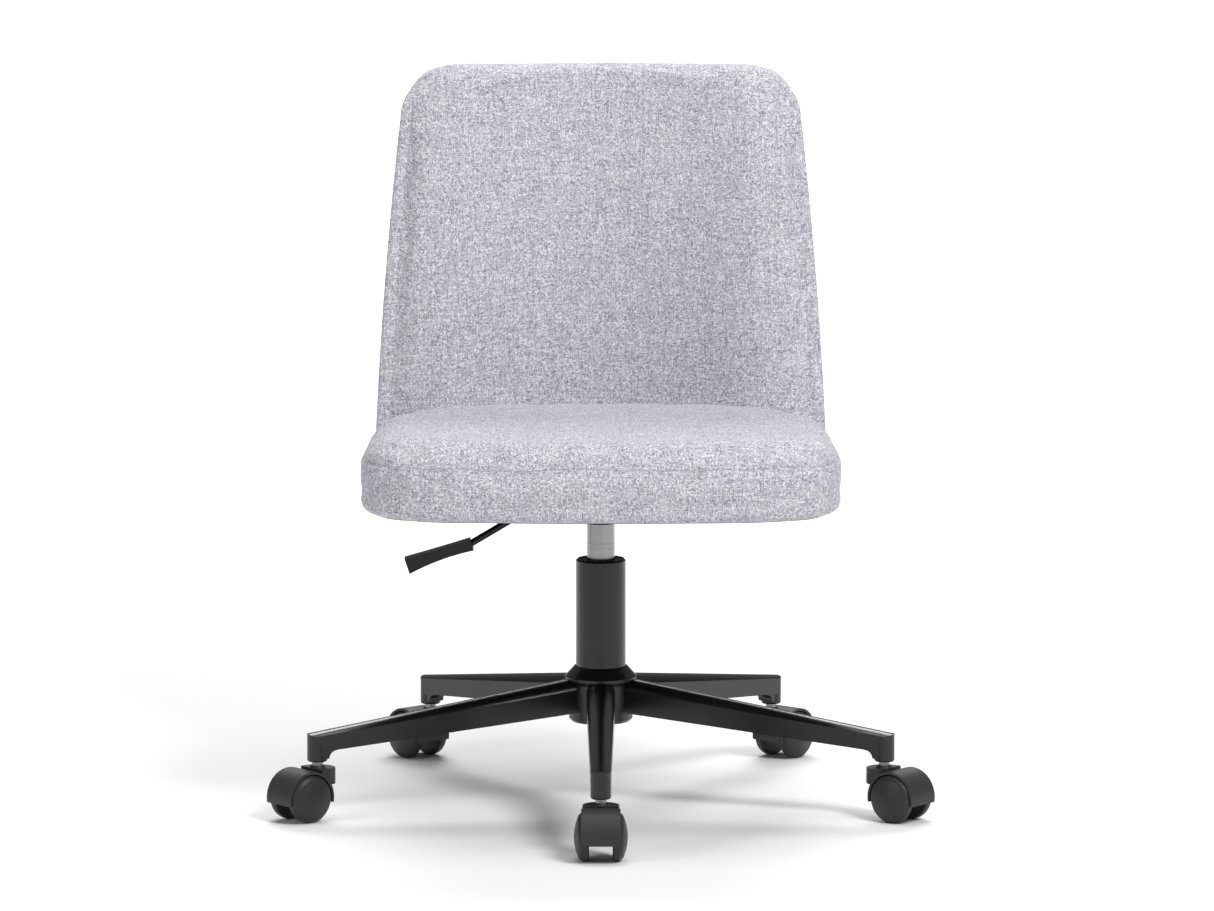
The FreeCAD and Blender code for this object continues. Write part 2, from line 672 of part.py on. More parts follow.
def seat_board():
    """Plywood board under the foam."""
    shape = raked(level_slab(BOARD_INSET, 0, BOARD_THICKNESS))
    return shape.cut(back_room(BOARD_GAP))


def board_holes():
    """Holes of the board: lever pocket, plate bolts and bracket bolts."""
    half = EAR_OUTER + 2 * LEVER_PIN_END + CUT_GAP
    front = -LEVER_ARM - LEVER_POCKET
    holes = [block(front, LEVER_END + NUT_BARREL, -half, half, -1, BOARD_THICKNESS + 1)]
    for x, y in bolt_places() + bracket_bolt_places():
        holes.append(rod(NUT_BARREL, -1, BOARD_THICKNESS + 1, x, y))
    return raked(group(holes))


def seat_cushion(board):
    """Foam and cover as one soft solid round the board."""
    shape = level_slab(0, 0, SEAT_THICKNESS)
    top = [e for e in shape.Edges if min(v.Z for v in e.Vertexes) > SEAT_THICKNESS - 1]
    shape = shape.makeFillet(SEAT_TOP_ROUND, top)
    low = [e for e in shape.Edges if max(v.Z for v in e.Vertexes) < 1]
    shape = shape.makeFillet(SEAT_LOW_ROUND, low)
    shape = raked(shape).cut(back_room(SOFT_GAP))
    shape = shape.cut(board)
    return shape.cut(raked(group(nut_flanges())))


def nut_flanges():
    """Flanges of the tee nuts that stand on the board, in the level seat frame."""
    flanges = []
    for x, y in bolt_places() + bracket_bolt_places():
        flanges.append(rod(NUT_FLANGE_RADIUS, BOARD_THICKNESS, BOARD_THICKNESS + NUT_FLANGE, x, y))
    return flanges


def board_nuts():
    """Tee nuts of the seat board."""
    nuts = []
    for (x, y), flange in zip(bolt_places() + bracket_bolt_places(), nut_flanges()):
        nut = flange.fuse(rod(NUT_BARREL, NUT_FLANGE, BOARD_THICKNESS, x, y))
        nuts.append(nut.cut(rod(BOLT_RADIUS, 0, BOARD_THICKNESS + FAR, x, y)))
    return raked(group(nuts))


def screw(x, y, under):
    """Bolt from below through a sheet whose lower face is at height under."""
    head = rod(BOLT_HEAD_RADIUS, under - BOLT_HEAD, under, x, y)
    return head.fuse(rod(BOLT_RADIUS, under - BOLT_HEAD, BOARD_THICKNESS, x, y))


def underside_cloth():
    """Thin cloth over the board, open round the plate and the brackets."""
    shape = level_slab(CLOTH_INSET, -CLOTH_THICKNESS, 0)
    x = PLATE_HALF_X + CUT_GAP
    y = PLATE_HALF_Y + CUT_GAP
    shape = shape.cut(block(-x, x, -y, y, -FAR, 1))
    half = BRACKET_WIDTH / 2 + CUT_GAP
    for x in (-BRACKET_X, BRACKET_X):
        shape = shape.cut(block(x - half, x + half, BRACKET_FRONT - CUT_GAP, SEAT_REAR + FAR, -FAR, 1))
    return raked(shape).cut(back_room(SOFT_GAP))


# ---------------------------------------------------------------- backrest

def front_y(z):
    """Y of the pad's front face on the middle line."""
    rise = z - BACK_Z_AT_SEAT
    return BACK_Y_AT_SEAT + BACK_LEAN * rise + BACK_LEAN_CURVE * rise ** 2


def wing_edge_y(z):
    """Y of the wings' front edge."""
    return front_y(z) - WING_DEPTH + WING_FADE * (z - BACK_Z_AT_SEAT)


def back_half_width(z):
    """Half of the backrest's outer width."""
    rise = z - BACK_Z_AT_SEAT
    return BACK_HALF_WIDTH - BACK_TAPER * rise - BACK_TAPER_CURVE * rise * abs(rise)


def back_thickness(z):
    """Thickness of the backrest on the middle line."""
    return BACK_THICKNESS - BACK_THINNING * (z - BACK_Z_AT_SEAT)


def plan_curve(z, half, edge, deep):
    """U-shaped plan curve at one height, from the wing edge at +X round the rear to -X."""
    points = []
    steps = 12
    for i in range(steps + 1):
        turn = math.pi * i / steps
        c = math.cos(turn)
        s = max(math.sin(turn), 0.0)
        x = half * math.copysign(abs(c) ** (2 / BACK_ROUNDNESS), c) if abs(c) > 1e-9 else 0.0
        y = edge + (deep - edge) * s ** (2 / BACK_ROUNDNESS) if s > 1e-9 else edge
        points.append(V(x, y, z))
    curve = Part.BSplineCurve()
    curve.interpolate(points)
    return curve.toShape(), points[0], points[-1]


def back_slab(outer, inner, z0, z1, edge_inset=0.0):
    """Curved slab of the backrest.

    outer and inner are functions of z that give (half width, y on the middle line).
    """
    wires = []
    levels = 5
    for i in range(levels):
        z = z0 + (z1 - z0) * i / (levels - 1)
        edge = wing_edge_y(z) + edge_inset
        far, far_right, far_left = plan_curve(z, outer(z)[0], edge, outer(z)[1])
        near, near_right, near_left = plan_curve(z, inner(z)[0], edge, inner(z)[1])
        edges = [far, Part.makeLine(far_left, near_left), near, Part.makeLine(near_right, far_right)]
        wires.append(Part.Wire(Part.__sortEdges__(edges)))
    return Part.makeLoft(wires, True, False)


def rear_face(z):
    """Outer face of the back cover."""
    return back_half_width(z), front_y(z) + back_thickness(z)


def front_face(z):
    """Face of the pad that the sitter leans on."""
    return back_half_width(z) - RIM_THICKNESS, front_y(z)


def shell_rear(z):
    """Rear face of the moulded shell."""
    return back_half_width(z) - COVER_SIDE, front_y(z) + back_thickness(z) - COVER_REAR


def cover_front(z):
    """Inner face of the back cover."""
    half, deep = shell_rear(z)
    return half + COVER_GAP, deep + COVER_GAP


def shell_front(z):
    """Front face of the moulded shell."""
    half, deep = shell_rear(z)
    return half - SHELL_THICKNESS, deep - SHELL_THICKNESS


def back_outline(inset):
    """Front-view outline of the backrest as a block along Y: straight below, round top corners."""
    top = BACK_TOP - inset
    low = BACK_LOW + inset
    shoulder = top - BACK_CORNER
    half = back_half_width(shoulder) - inset
    flat = half - BACK_CORNER
    diagonal = BACK_CORNER * math.sqrt(0.5)
    wide = BACK_HALF_WIDTH + FAR
    right_arc = [V(half, 0, shoulder), V(flat + diagonal, 0, shoulder + diagonal), V(flat, 0, top)]
    left_arc = [V(-point.x, 0, point.z) for point in reversed(right_arc)]
    edges = [
        Part.makeLine(V(-wide, 0, low), V(wide, 0, low)),
        Part.makeLine(V(wide, 0, low), V(wide, 0, shoulder)),
        Part.makeLine(V(wide, 0, shoulder), right_arc[0]),
        Part.Arc(*right_arc).toShape(),
        Part.makeLine(right_arc[-1], left_arc[0]),
        Part.Arc(*left_arc).toShape(),
        Part.makeLine(left_arc[-1], V(-wide, 0, shoulder)),
        Part.makeLine(V(-wide, 0, shoulder), V(-wide, 0, low)),
    ]
    return Part.Face(Part.Wire(edges)).extrude(V(0, 2 * SEAT_REAR, 0))


def back_room(gap):
    """Space that the seat keeps clear of: everything outside the pad's front face and wings, less a gap."""
    def far(z):
        return SEAT_HALF_WIDTH * 1.5, SEAT_REAR * 2

    def near(z):
        half, deep = front_face(z)
        return half - gap, deep - gap

    return back_slab(far, near, BACK_LOW - FAR, SEAT_LOW_AT_FRONT + 2 * SEAT_THICKNESS, -gap)


def before_wings(inset):
    """Everything in front of the wings' front edge, moved back by inset."""
    low = BACK_LOW - FAR
    high = BACK_TOP + FAR
    steps = 6
    points = []
    for i in range(steps + 1):
        z = low + (high - low) * i / steps
        points.append(V(0, wing_edge_y(z) + inset, z))
    edge = Part.BSplineCurve()
    edge.interpolate(points)
    high_front = V(0, -FAR, high)
    low_front = V(0, -FAR, low)
    edges = [
        edge.toShape(), Part.makeLine(points[-1], high_front),
        Part.makeLine(high_front, low_front), Part.makeLine(low_front, points[0]),
    ]
    face = Part.Face(Part.Wire(edges))
    wide = BACK_HALF_WIDTH + FAR
    face.translate(V(-wide, 0, 0))
    return face.extrude(V(2 * wide, 0, 0))


def bracket_line():
    """Foot point of the brackets' upright, its unit direction up and the one behind it."""
    low = BACK_LOW
    high = BACK_LOW + BRACKET_RISE
    foot = V(0, shell_rear(low)[1] + BRACKET_GAP, low)
    head = V(0, shell_rear(high)[1] + BRACKET_GAP, high)
    up = (head - foot).normalize()
    return foot, up, V(0, up.z, -up.y)


def back_bracket(side):
    """Flat steel angle: one leg under the board, one behind the shell."""
    foot, up, behind = bracket_line()
    rake = math.radians(SEAT_RAKE)
    along = V(0, math.cos(rake), -math.sin(rake))
    down = V(0, -math.sin(rake), -math.cos(rake))
    start = V(0, 0, SEAT_Z) + along * BRACKET_FRONT
    # Where the underside line of the board meets the upright's front face
    reach = (foot - start).dot(behind) / along.dot(behind)
    inner = start + along * reach
    offset = BRACKET_GAUGE * (1 - down.dot(behind)) / along.dot(behind)
    corner = inner + down * BRACKET_GAUGE + along * offset
    head = foot + up * BRACKET_RISE
    points = [
        start, inner, head, head + behind * BRACKET_GAUGE, corner, start + down * BRACKET_GAUGE, start,
    ]
    face = Part.Face(Part.makePolygon(points))
    face.translate(V(side * BRACKET_X - BRACKET_WIDTH / 2, 0, 0))
    shape = face.extrude(V(BRACKET_WIDTH, 0, 0))
    for x, y in bracket_bolt_places():
        shape = shape.cut(raked(rod(BOLT_RADIUS, -BRACKET_GAUGE - 1, 1, x, y)))
    for place in upright_bolt_places():
        shape = shape.cut(bar(place - behind, place + behind * (BRACKET_GAUGE + 1), BOLT_RADIUS))
    return shape


def bracket_bolt_places():
    """Bolts of the brackets through the board."""
    places = []
    for side in (-1, 1):
        for behind_front in BRACKET_BOLTS:
            places.append((side * BRACKET_X, BRACKET_FRONT + behind_front))
    return places


def upright_bolt_places():
    """Points on the uprights' front face where bolts pass through the shell."""
    foot, up = bracket_line()[:2]
    places = []
    for side in (-1, 1):
        for share in UPRIGHT_BOLTS:
            places.append(foot + up * BRACKET_RISE * share + V(side * BRACKET_X, 0, 0))
    return places


def upright_bolts():
    """Bolts from behind the uprights, through the shell, into their nuts."""
    behind = bracket_line()[2]
    reach = SHELL_THICKNESS + BRACKET_GAP + SHELL_BOLT_REACH
    bolts = []
    for place in upright_bolt_places():
        rear = place + behind * BRACKET_GAUGE
        head = bar(rear, rear + behind * BOLT_HEAD, BOLT_HEAD_RADIUS)
        bolts.append(head.fuse(bar(place - behind * reach, rear + behind * BOLT_HEAD, BOLT_RADIUS)))
    return bolts


def upright_nuts():
    """Nuts in front of the shell."""
    behind = bracket_line()[2]
    nuts = []
    for place in upright_bolt_places():
        near = place - behind * (SHELL_THICKNESS + BRACKET_GAP + SHELL_NUT_REACH)
        far = near + behind * SHELL_NUT
        nut = bar(near, far, BOLT_HEAD_RADIUS)
        nuts.append(nut.cut(bar(near - behind, far + behind, BOLT_RADIUS)))
    return nuts


def bracket_pocket(side):
    """Room in the outer cover for a bracket's upright and its bolt heads."""
    foot, up, behind = bracket_line()
    half = BRACKET_WIDTH / 2 + POCKET_GAP
    x = side * BRACKET_X
    below = BACK_LOW / 10
    depth = 2 * BRACKET_GAUGE + BOLT_HEAD + 2 * POCKET_GAP
    pocket = block(x - half, x + half, 0, depth, 0, below + BRACKET_RISE + POCKET_GAP)
    pocket.rotate(V(0, 0, 0), V(1, 0, 0), -math.degrees(math.atan2(up.y, up.z)))
    pocket.translate(foot - up * below - behind * BRACKET_GAUGE)
    return pocket


def make_backrest():
    """Moulded shell between the padded front and the outer cover, on two steel brackets."""
    low = BACK_LOW - FAR / 2
    high = BACK_TOP + FAR / 2
    outline = back_outline(0)
    bolts = upright_bolts()
    nuts = upright_nuts()
    shell = back_slab(shell_rear, shell_front, low, high).common(back_outline(SHELL_INSET))
    shell = shell.cut(before_wings(SHELL_INSET))
    pad = back_slab(shell_rear, front_face, low, high).common(outline).cut(shell)
    for bolt, nut in zip(bolts, nuts):
        shell = shell.cut(bolt)
        pad = pad.cut(bolt).cut(nut)
    cover = back_slab(rear_face, cover_front, low, high).common(outline)
    for side in (-1, 1):
        cover = cover.cut(bracket_pocket(side))
    save("back_shell", shell)
    save("back_pad", pad)
    save("back_cover", cover)
    save("back_brackets", group([back_bracket(-1), back_bracket(1)]))
    return bolts, nuts


def make_seat():
    """Everything that rises and turns with the seat."""
    save("gas_cylinder", gas_cylinder())
    save("cylinder_gland", ring(BORE_RADIUS, ROD_RADIUS + RUN, CYLINDER_LOW, CYLINDER_LOW + GLAND_LENGTH))
    save("taper_socket", taper_socket())
    save("seat_plate", seat_plate())
    save("lever_bracket", lever_bracket())
    save("lever_pin", lever_pin())
    board = seat_board()
    save("seat_cushion", seat_cushion(board))
    save("seat_board", board.cut(board_holes()))
    save("underside_cloth", underside_cloth())
    bolts, nuts = make_backrest()
    plate_bolts = [raked(screw(x, y, -PLATE_GAUGE)) for x, y in bolt_places()]
    board_bolts = [raked(screw(x, y, -BRACKET_GAUGE)) for x, y in bracket_bolt_places()]
    save("plate_bolts", group(plate_bolts))
    save("bracket_bolts", group(board_bolts + bolts))
    save("tee_nuts", group([board_nuts()] + nuts))


# ---------------------------------------------------------------- casters

def lying(shape):
    """Copy of a shape turned about Z laid along the axle, which runs along Y at the trail."""
    copy = shape.copy()
    copy.rotate(V(0, 0, 0), V(1, 0, 0), -90)
    copy.translate(V(TRAIL, 0, WHEEL_RADIUS))
    return copy


def wheel():
    """Wheel on the +Y side, domed outside, with a blind bore for the axle."""
    bore = AXLE_RADIUS + RUN
    shoulder_radius = WHEEL_RADIUS * SHOULDER_SHARE
    rim = V(WHEEL_RADIUS, 0, WHEEL_TREAD_END)
    shoulder = V(shoulder_radius, 0, WHEEL_SHOULDER)
    bulge = (WHEEL_SHOULDER - WHEEL_TREAD_END) * 0.14
    between = (rim + shoulder) * 0.5 + V(bulge, 0, bulge)
    crown = V(0, 0, WHEEL_OUTER)
    rise = WHEEL_OUTER - WHEEL_SHOULDER
    ball = (shoulder_radius ** 2 + rise ** 2) / (2 * rise)
    half_turn = math.asin(shoulder_radius / ball) / 2
    dome_middle = V(ball * math.sin(half_turn), 0, WHEEL_OUTER - ball * (1 - math.cos(half_turn)))
    edge_start = V(WHEEL_RADIUS - WHEEL_EDGE, 0, WHEEL_INNER)
    edge_end = V(WHEEL_RADIUS, 0, WHEEL_INNER + WHEEL_EDGE)
    edges = [
        Part.makeLine(V(bore, 0, WHEEL_INNER), edge_start),
        Part.makeLine(edge_start, edge_end),
        Part.makeLine(edge_end, rim),
        Part.Arc(rim, between, shoulder).toShape(),
        Part.Arc(shoulder, dome_middle, crown).toShape(),
        Part.makeLine(crown, V(0, 0, WHEEL_BORE_END)),
        Part.makeLine(V(0, 0, WHEEL_BORE_END), V(bore, 0, WHEEL_BORE_END)),
        Part.makeLine(V(bore, 0, WHEEL_BORE_END), V(bore, 0, WHEEL_INNER)),
    ]
    face = Part.Face(Part.Wire(edges))
    return lying(face.revolve(V(0, 0, 0), V(0, 0, 1), 360))


def caster_hood():
    """Hood over both wheels with a web between them and the block that holds the stem."""
    arch = lying(rod(HOOD_RADIUS, -HOOD_HALF_WIDTH, HOOD_HALF_WIDTH))
    low_edge = WHEEL_RADIUS - HOOD_EDGE_DROP
    arch = arch.common(block(-2 * FAR, 2 * FAR, -FAR, FAR, low_edge, HOOD_TOP + 1))
    low = HOOD_TOP - STEM_BLOCK_HEIGHT
    radius = STEM_BLOCK_RADIUS
    stem_block = rod(radius, low, HOOD_TOP).cut(block(STEM_BLOCK_BACK, FAR, -FAR, FAR, 0, HOOD_TOP + 1))
    square = block(0, STEM_BLOCK_BACK, -radius, radius, low, HOOD_TOP)
    collar = Part.makeCone(
        STEM_RADIUS + COLLAR_FLARE, STEM_RADIUS + COLLAR_LAND, COLLAR_HEIGHT, V(0, 0, HOOD_TOP)
    )
    shape = joined([arch, stem_block, square, collar])
    cavity = WHEEL_RADIUS + HOOD_GAP
    for y0, y1 in ((WEB_HALF, FAR), (-FAR, -WEB_HALF)):
        shape = shape.cut(lying(rod(cavity, y0, y1)))
    shape = shape.cut(lying(rod(AXLE_RADIUS, -FAR, FAR)))
    return shape.cut(rod(STEM_RADIUS, STEM_LOW, COLLAR_TOP + 1))


def caster_stem():
    """Steel stem, fixed in the hood and free to turn in the sleeve."""
    top = SOCKET_LOW + STEM_IN_SLEEVE
    body = rod(STEM_RADIUS, STEM_LOW, top - STEM_CHAMFER)
    tip = Part.makeCone(STEM_RADIUS, STEM_RADIUS - STEM_CHAMFER, STEM_CHAMFER, V(0, 0, top - STEM_CHAMFER))
    return body.fuse(tip)


def caster_axle():
    """Axle through the web and into both wheels."""
    reach = WHEEL_BORE_END - AXLE_END_GAP
    return lying(rod(AXLE_RADIUS, -reach, reach))


def make_casters():
    """Five casters, each with its hood, stem, axle and two wheels."""
    one_wheel = wheel()
    pieces = {
        "hood": caster_hood(),
        "stem": caster_stem(),
        "axle": caster_axle(),
        "wheel_a": one_wheel,
        "wheel_b": one_wheel.mirror(V(0, 0, 0), V(0, 1, 0)),
    }
    for name, (heading, trail) in LEGS.items():
        turn = math.radians(heading)
        x = LEG_REACH * math.cos(turn)
        y = LEG_REACH * math.sin(turn)
        for part_name, shape in pieces.items():
            save(f"caster_{name}_{part_name}", placed(shape, trail, x, y))


os.makedirs(OUT, exist_ok=True)
make_base()
make_spindle()
make_seat()
save("lever_rod", lever_rod())
save("lever_grip", lever_grip())
save("valve_button", valve_button())
make_casters()
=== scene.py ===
import json
import logging
import math
from dataclasses import dataclass
from enum import Enum
from typing import Callable, ClassVar, Optional, Sequence, Union

import bpy
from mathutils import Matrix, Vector, noise
from mathutils.geometry import delaunay_2d_cdt


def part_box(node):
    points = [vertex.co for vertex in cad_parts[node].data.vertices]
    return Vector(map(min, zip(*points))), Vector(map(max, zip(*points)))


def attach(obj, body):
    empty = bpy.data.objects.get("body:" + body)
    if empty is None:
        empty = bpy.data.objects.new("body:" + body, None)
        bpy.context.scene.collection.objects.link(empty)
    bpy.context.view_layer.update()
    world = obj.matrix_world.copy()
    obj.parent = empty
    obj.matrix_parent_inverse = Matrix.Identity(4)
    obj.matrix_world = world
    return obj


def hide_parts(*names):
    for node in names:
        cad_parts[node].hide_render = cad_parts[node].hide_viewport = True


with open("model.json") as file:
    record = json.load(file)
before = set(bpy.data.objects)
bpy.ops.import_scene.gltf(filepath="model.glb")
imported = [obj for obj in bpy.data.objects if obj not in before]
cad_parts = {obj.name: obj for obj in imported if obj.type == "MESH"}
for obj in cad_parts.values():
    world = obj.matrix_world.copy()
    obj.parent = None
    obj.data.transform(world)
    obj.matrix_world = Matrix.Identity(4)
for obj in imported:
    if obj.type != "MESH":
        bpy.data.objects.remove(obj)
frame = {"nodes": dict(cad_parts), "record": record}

LOG = logging.getLogger("chair")
MM = 0.001

Number = Union[int, float]
Colour = tuple[float, float, float]
Point = tuple[float, float]


# ------------------------------------------------------------------ shader graph

class Value:
    """A shader socket that takes part in arithmetic with numbers, tuples and other sockets."""

    def __init__(self, graph: "Graph", socket: bpy.types.NodeSocket, vector: bool = False) -> None:
        """Wrap an output socket of a graph; vector says that it carries three numbers."""
        self.graph = graph
        self.socket = socket
        self.vector = vector

    def _with(self, other: "Operand", operation: str, flipped: bool = False) -> "Value":
        """Combine with another operand through one Math or Vector Math node.

        Args:
            other: Number, tuple or socket.
            operation: The node's operation.
            flipped: Puts the other operand first.

        Returns:
            The node's result.
        """
        first, second = (other, self) if flipped else (self, other)
        vector = self.vector or isinstance(other, tuple) or (isinstance(other, Value) and other.vector)
        if vector:
            return self.graph.vector_math(operation, _spread(first), _spread(second))
        return self.graph.math(operation, first, second)

    def __add__(self, other: "Operand") -> "Value":
        """Sum."""
        return self._with(other, "ADD")

    def __radd__(self, other: "Operand") -> "Value":
        """Sum with the socket on the right."""
        return self._with(other, "ADD", True)

    def __sub__(self, other: "Operand") -> "Value":
        """Difference."""
        return self._with(other, "SUBTRACT")

    def __rsub__(self, other: "Operand") -> "Value":
        """Difference with the socket on the right."""
        return self._with(other, "SUBTRACT", True)

    def __mul__(self, other: "Operand") -> "Value":
        """Product."""
        return self._with(other, "MULTIPLY")

    def __rmul__(self, other: "Operand") -> "Value":
        """Product with the socket on the right."""
        return self._with(other, "MULTIPLY", True)

    def __truediv__(self, other: "Operand") -> "Value":
        """Quotient."""
        return self._with(other, "DIVIDE")

    def __rtruediv__(self, other: "Operand") -> "Value":
        """Quotient with the socket on the right."""
        return self._with(other, "DIVIDE", True)

    def __mod__(self, other: "Operand") -> "Value":
        """Remainder, always positive for a positive divisor."""
        return self._with(other, "FLOORED_MODULO")

    def __rmod__(self, other: "Operand") -> "Value":
        """Remainder with the socket on the right."""
        return self._with(other, "FLOORED_MODULO", True)

    def __abs__(self) -> "Value":
        """Absolute value."""
        if self.vector:
            return self.graph.vector_math("ABSOLUTE", self)
        return self.graph.math("ABSOLUTE", self)

    def __gt__(self, other: "Operand") -> "Value":
        """One where the socket is larger, zero elsewhere."""
        return self.graph.math("GREATER_THAN", self, other)

    def floor(self) -> "Value":
        """Largest whole number below."""
        return self.graph.math("FLOOR", self)

    def sine(self) -> "Value":
        """Sine of an angle in radians."""
        return self.graph.math("SINE", self)

    def ramp(self, low: Number, high: Number) -> "Value":
        """Step smoothly from zero to one.

        Args:
            low: Where the step starts.
            high: Where it ends.

        Returns:
            The stepped value.
        """
        node = self.graph.node(
            "ShaderNodeMapRange",
            {"interpolation_type": "SMOOTHSTEP"},
            {"Value": self, "From Min": low, "From Max": high, "To Min": 0.0, "To Max": 1.0},
        )
        return Value(self.graph, node.outputs["Result"])

    def split(self) -> tuple["Value", "Value", "Value"]:
        """The three components of a vector socket."""
        node = self.graph.node("ShaderNodeSeparateXYZ", {}, {"Vector": self})
        return tuple(Value(self.graph, node.outputs[axis]) for axis in "XYZ")


Operand = Union[Value, Number, Colour]


def _spread(operand: Operand) -> Operand:
    """A plain number as three equal numbers; anything else unchanged."""
    if isinstance(operand, (int, float)):
        return (float(operand),) * 3
    return operand


class Graph:
    """Node tree of one material, built through one general method."""

    def __init__(self, name: str) -> None:
        """Start an empty material with an output node."""
        self.material = bpy.data.materials.new(name)
        self.material.use_nodes = True
        self.tree = self.material.node_tree
        self.tree.nodes.clear()
        self.output = self.tree.nodes.new("ShaderNodeOutputMaterial")

    def node(
        self, kind: str, settings: Optional[dict] = None, inputs: Optional[dict] = None
    ) -> bpy.types.Node:
        """Add a node.

        Args:
            kind: Blender's node type.
            settings: Attributes set before the sockets, as some of them change the sockets.
            inputs: Socket name or index to a number, a tuple or a Value to link.

        Returns:
            The new node.
        """
        node = self.tree.nodes.new(kind)
        for key, value in (settings or {}).items():
            setattr(node, key, value)
        for key, value in (inputs or {}).items():
            socket = node.inputs[key]
            if isinstance(value, Value):
                self.tree.links.new(value.socket, socket)
            elif isinstance(value, tuple) and socket.type == "RGBA" and len(value) == 3:
                socket.default_value = (*value, 1.0)
            else:
                socket.default_value = value
        return node

    def math(self, operation: str, *operands: Operand) -> Value:
        """One Math node."""
        node = self.node("ShaderNodeMath", {"operation": operation}, dict(enumerate(operands)))
        return Value(self, node.outputs[0])

    def vector_math(self, operation: str, *operands: Operand) -> Value:
        """One Vector Math node with a vector result."""
        node = self.node("ShaderNodeVectorMath", {"operation": operation}, dict(enumerate(operands)))
        return Value(self, node.outputs["Vector"], True)

    def join(self, x: Operand, y: Operand, z: Operand = 0.0) -> Value:
        """Vector from three components."""
        node = self.node("ShaderNodeCombineXYZ", {}, {"X": x, "Y": y, "Z": z})
        return Value(self, node.outputs["Vector"], True)

    def mix(self, factor: Operand, a: Operand, b: Operand) -> Value:
        """Number between a and b."""
        node = self.node("ShaderNodeMix", {"data_type": "FLOAT"}, {0: factor, 2: a, 3: b})
        return Value(self, node.outputs[0])

    def blend(self, factor: Operand, a: Operand, b: Operand) -> Value:
        """Colour between a and b."""
        node = self.node("ShaderNodeMix", {"data_type": "RGBA"}, {0: factor, 6: a, 7: b})
        return Value(self, node.outputs[2], True)

    def place(self) -> Value:
        """Position on the piece, in its own space."""
        return Value(self, self.node("ShaderNodeTexCoord").outputs["Object"], True)

    def facing(self) -> Value:
        """Surface direction in the piece's own space."""
        return Value(self, self.node("ShaderNodeTexCoord").outputs["Normal"], True)

    def clouds(self, place: Operand, scale: float, detail: float = 2.0, rough: float = 0.5) -> Value:
        """Soft noise from zero to one."""
        inputs = {"Vector": place, "Scale": scale, "Detail": detail, "Roughness": rough}
        return Value(self, self.node("ShaderNodeTexNoise", {}, inputs).outputs[0])

    def dice(self, cell: Value) -> Value:
        """Random number for each whole-numbered cell."""
        node = self.node("ShaderNodeTexWhiteNoise", {"noise_dimensions": "3D"}, {"Vector": cell})
        return Value(self, node.outputs["Value"])

    def bump(self, height: Value, distance: float, strength: float = 1.0) -> Value:
        """Bumped normal from a height between zero and one."""
        inputs = {"Height": height, "Distance": distance, "Strength": strength}
        return Value(self, self.node("ShaderNodeBump", {}, inputs).outputs["Normal"], True)

    def surface(self, **sockets: Operand) -> bpy.types.Material:
        """Finish with one Principled shader.

        Args:
            sockets: Socket names with underscores for spaces, and what goes into them.

        Returns:
            The finished material.
        """
        inputs = {name.replace("_", " "): value for name, value in sockets.items()}
        shader = self.node("ShaderNodeBsdfPrincipled", {}, inputs)
        self.tree.links.new(shader.outputs["BSDF"], self.output.inputs["Surface"])
        return self.material


# ------------------------------------------------------------------ finishes

class Finish:
    """A finish that becomes a material through one Principled shader."""

    def sockets(self, graph: Graph, place: Value) -> dict[str, Operand]:
        """Work out what goes into the shader.

        Args:
            graph: The material's node tree.
            place: Position on the piece.

        Returns:
            Socket names with underscores for spaces, and their values or links.
        """
        raise NotImplementedError

    def build(self, name: str) -> bpy.types.Material:
        """Make the material under a name."""
        graph = Graph(name)
        return graph.surface(**self.sockets(graph, graph.place()))


@dataclass(frozen=True)
class Seam:
    """A sewn line at one height above the low edge of the raked seat; along it the cloth is darkened as
    painted shade in the seam's groove.

    low is the height of that edge on the column's axis and slope how fast it falls towards the rear.
    """

    low: float
    slope: float
    height: float
    width: float = 1.1 * MM
    waver: float = 9.0 * MM
    waver_scale: float = 22.0
    level_fade: Point = (0.86, 0.97)

    def mask(self, graph: Graph, place: Value) -> Value:
        """Draw the line, along which the cloth is dented and darkened as painted shade.

        Args:
            graph: The node tree to draw in.
            place: Position on the piece.

        Returns:
            One on the line, zero away from it and on faces that lie level.
        """
        _, y, z = place.split()
        waver = (graph.clouds(place, self.waver_scale, 1.0) - 0.5) * self.waver
        above = z - (y * -self.slope + self.low) - self.height - waver
        level = abs(graph.facing()).split()[2].ramp(*self.level_fade)
        return (1.0 - abs(above).ramp(self.width * 0.25, self.width)) * (1.0 - level)


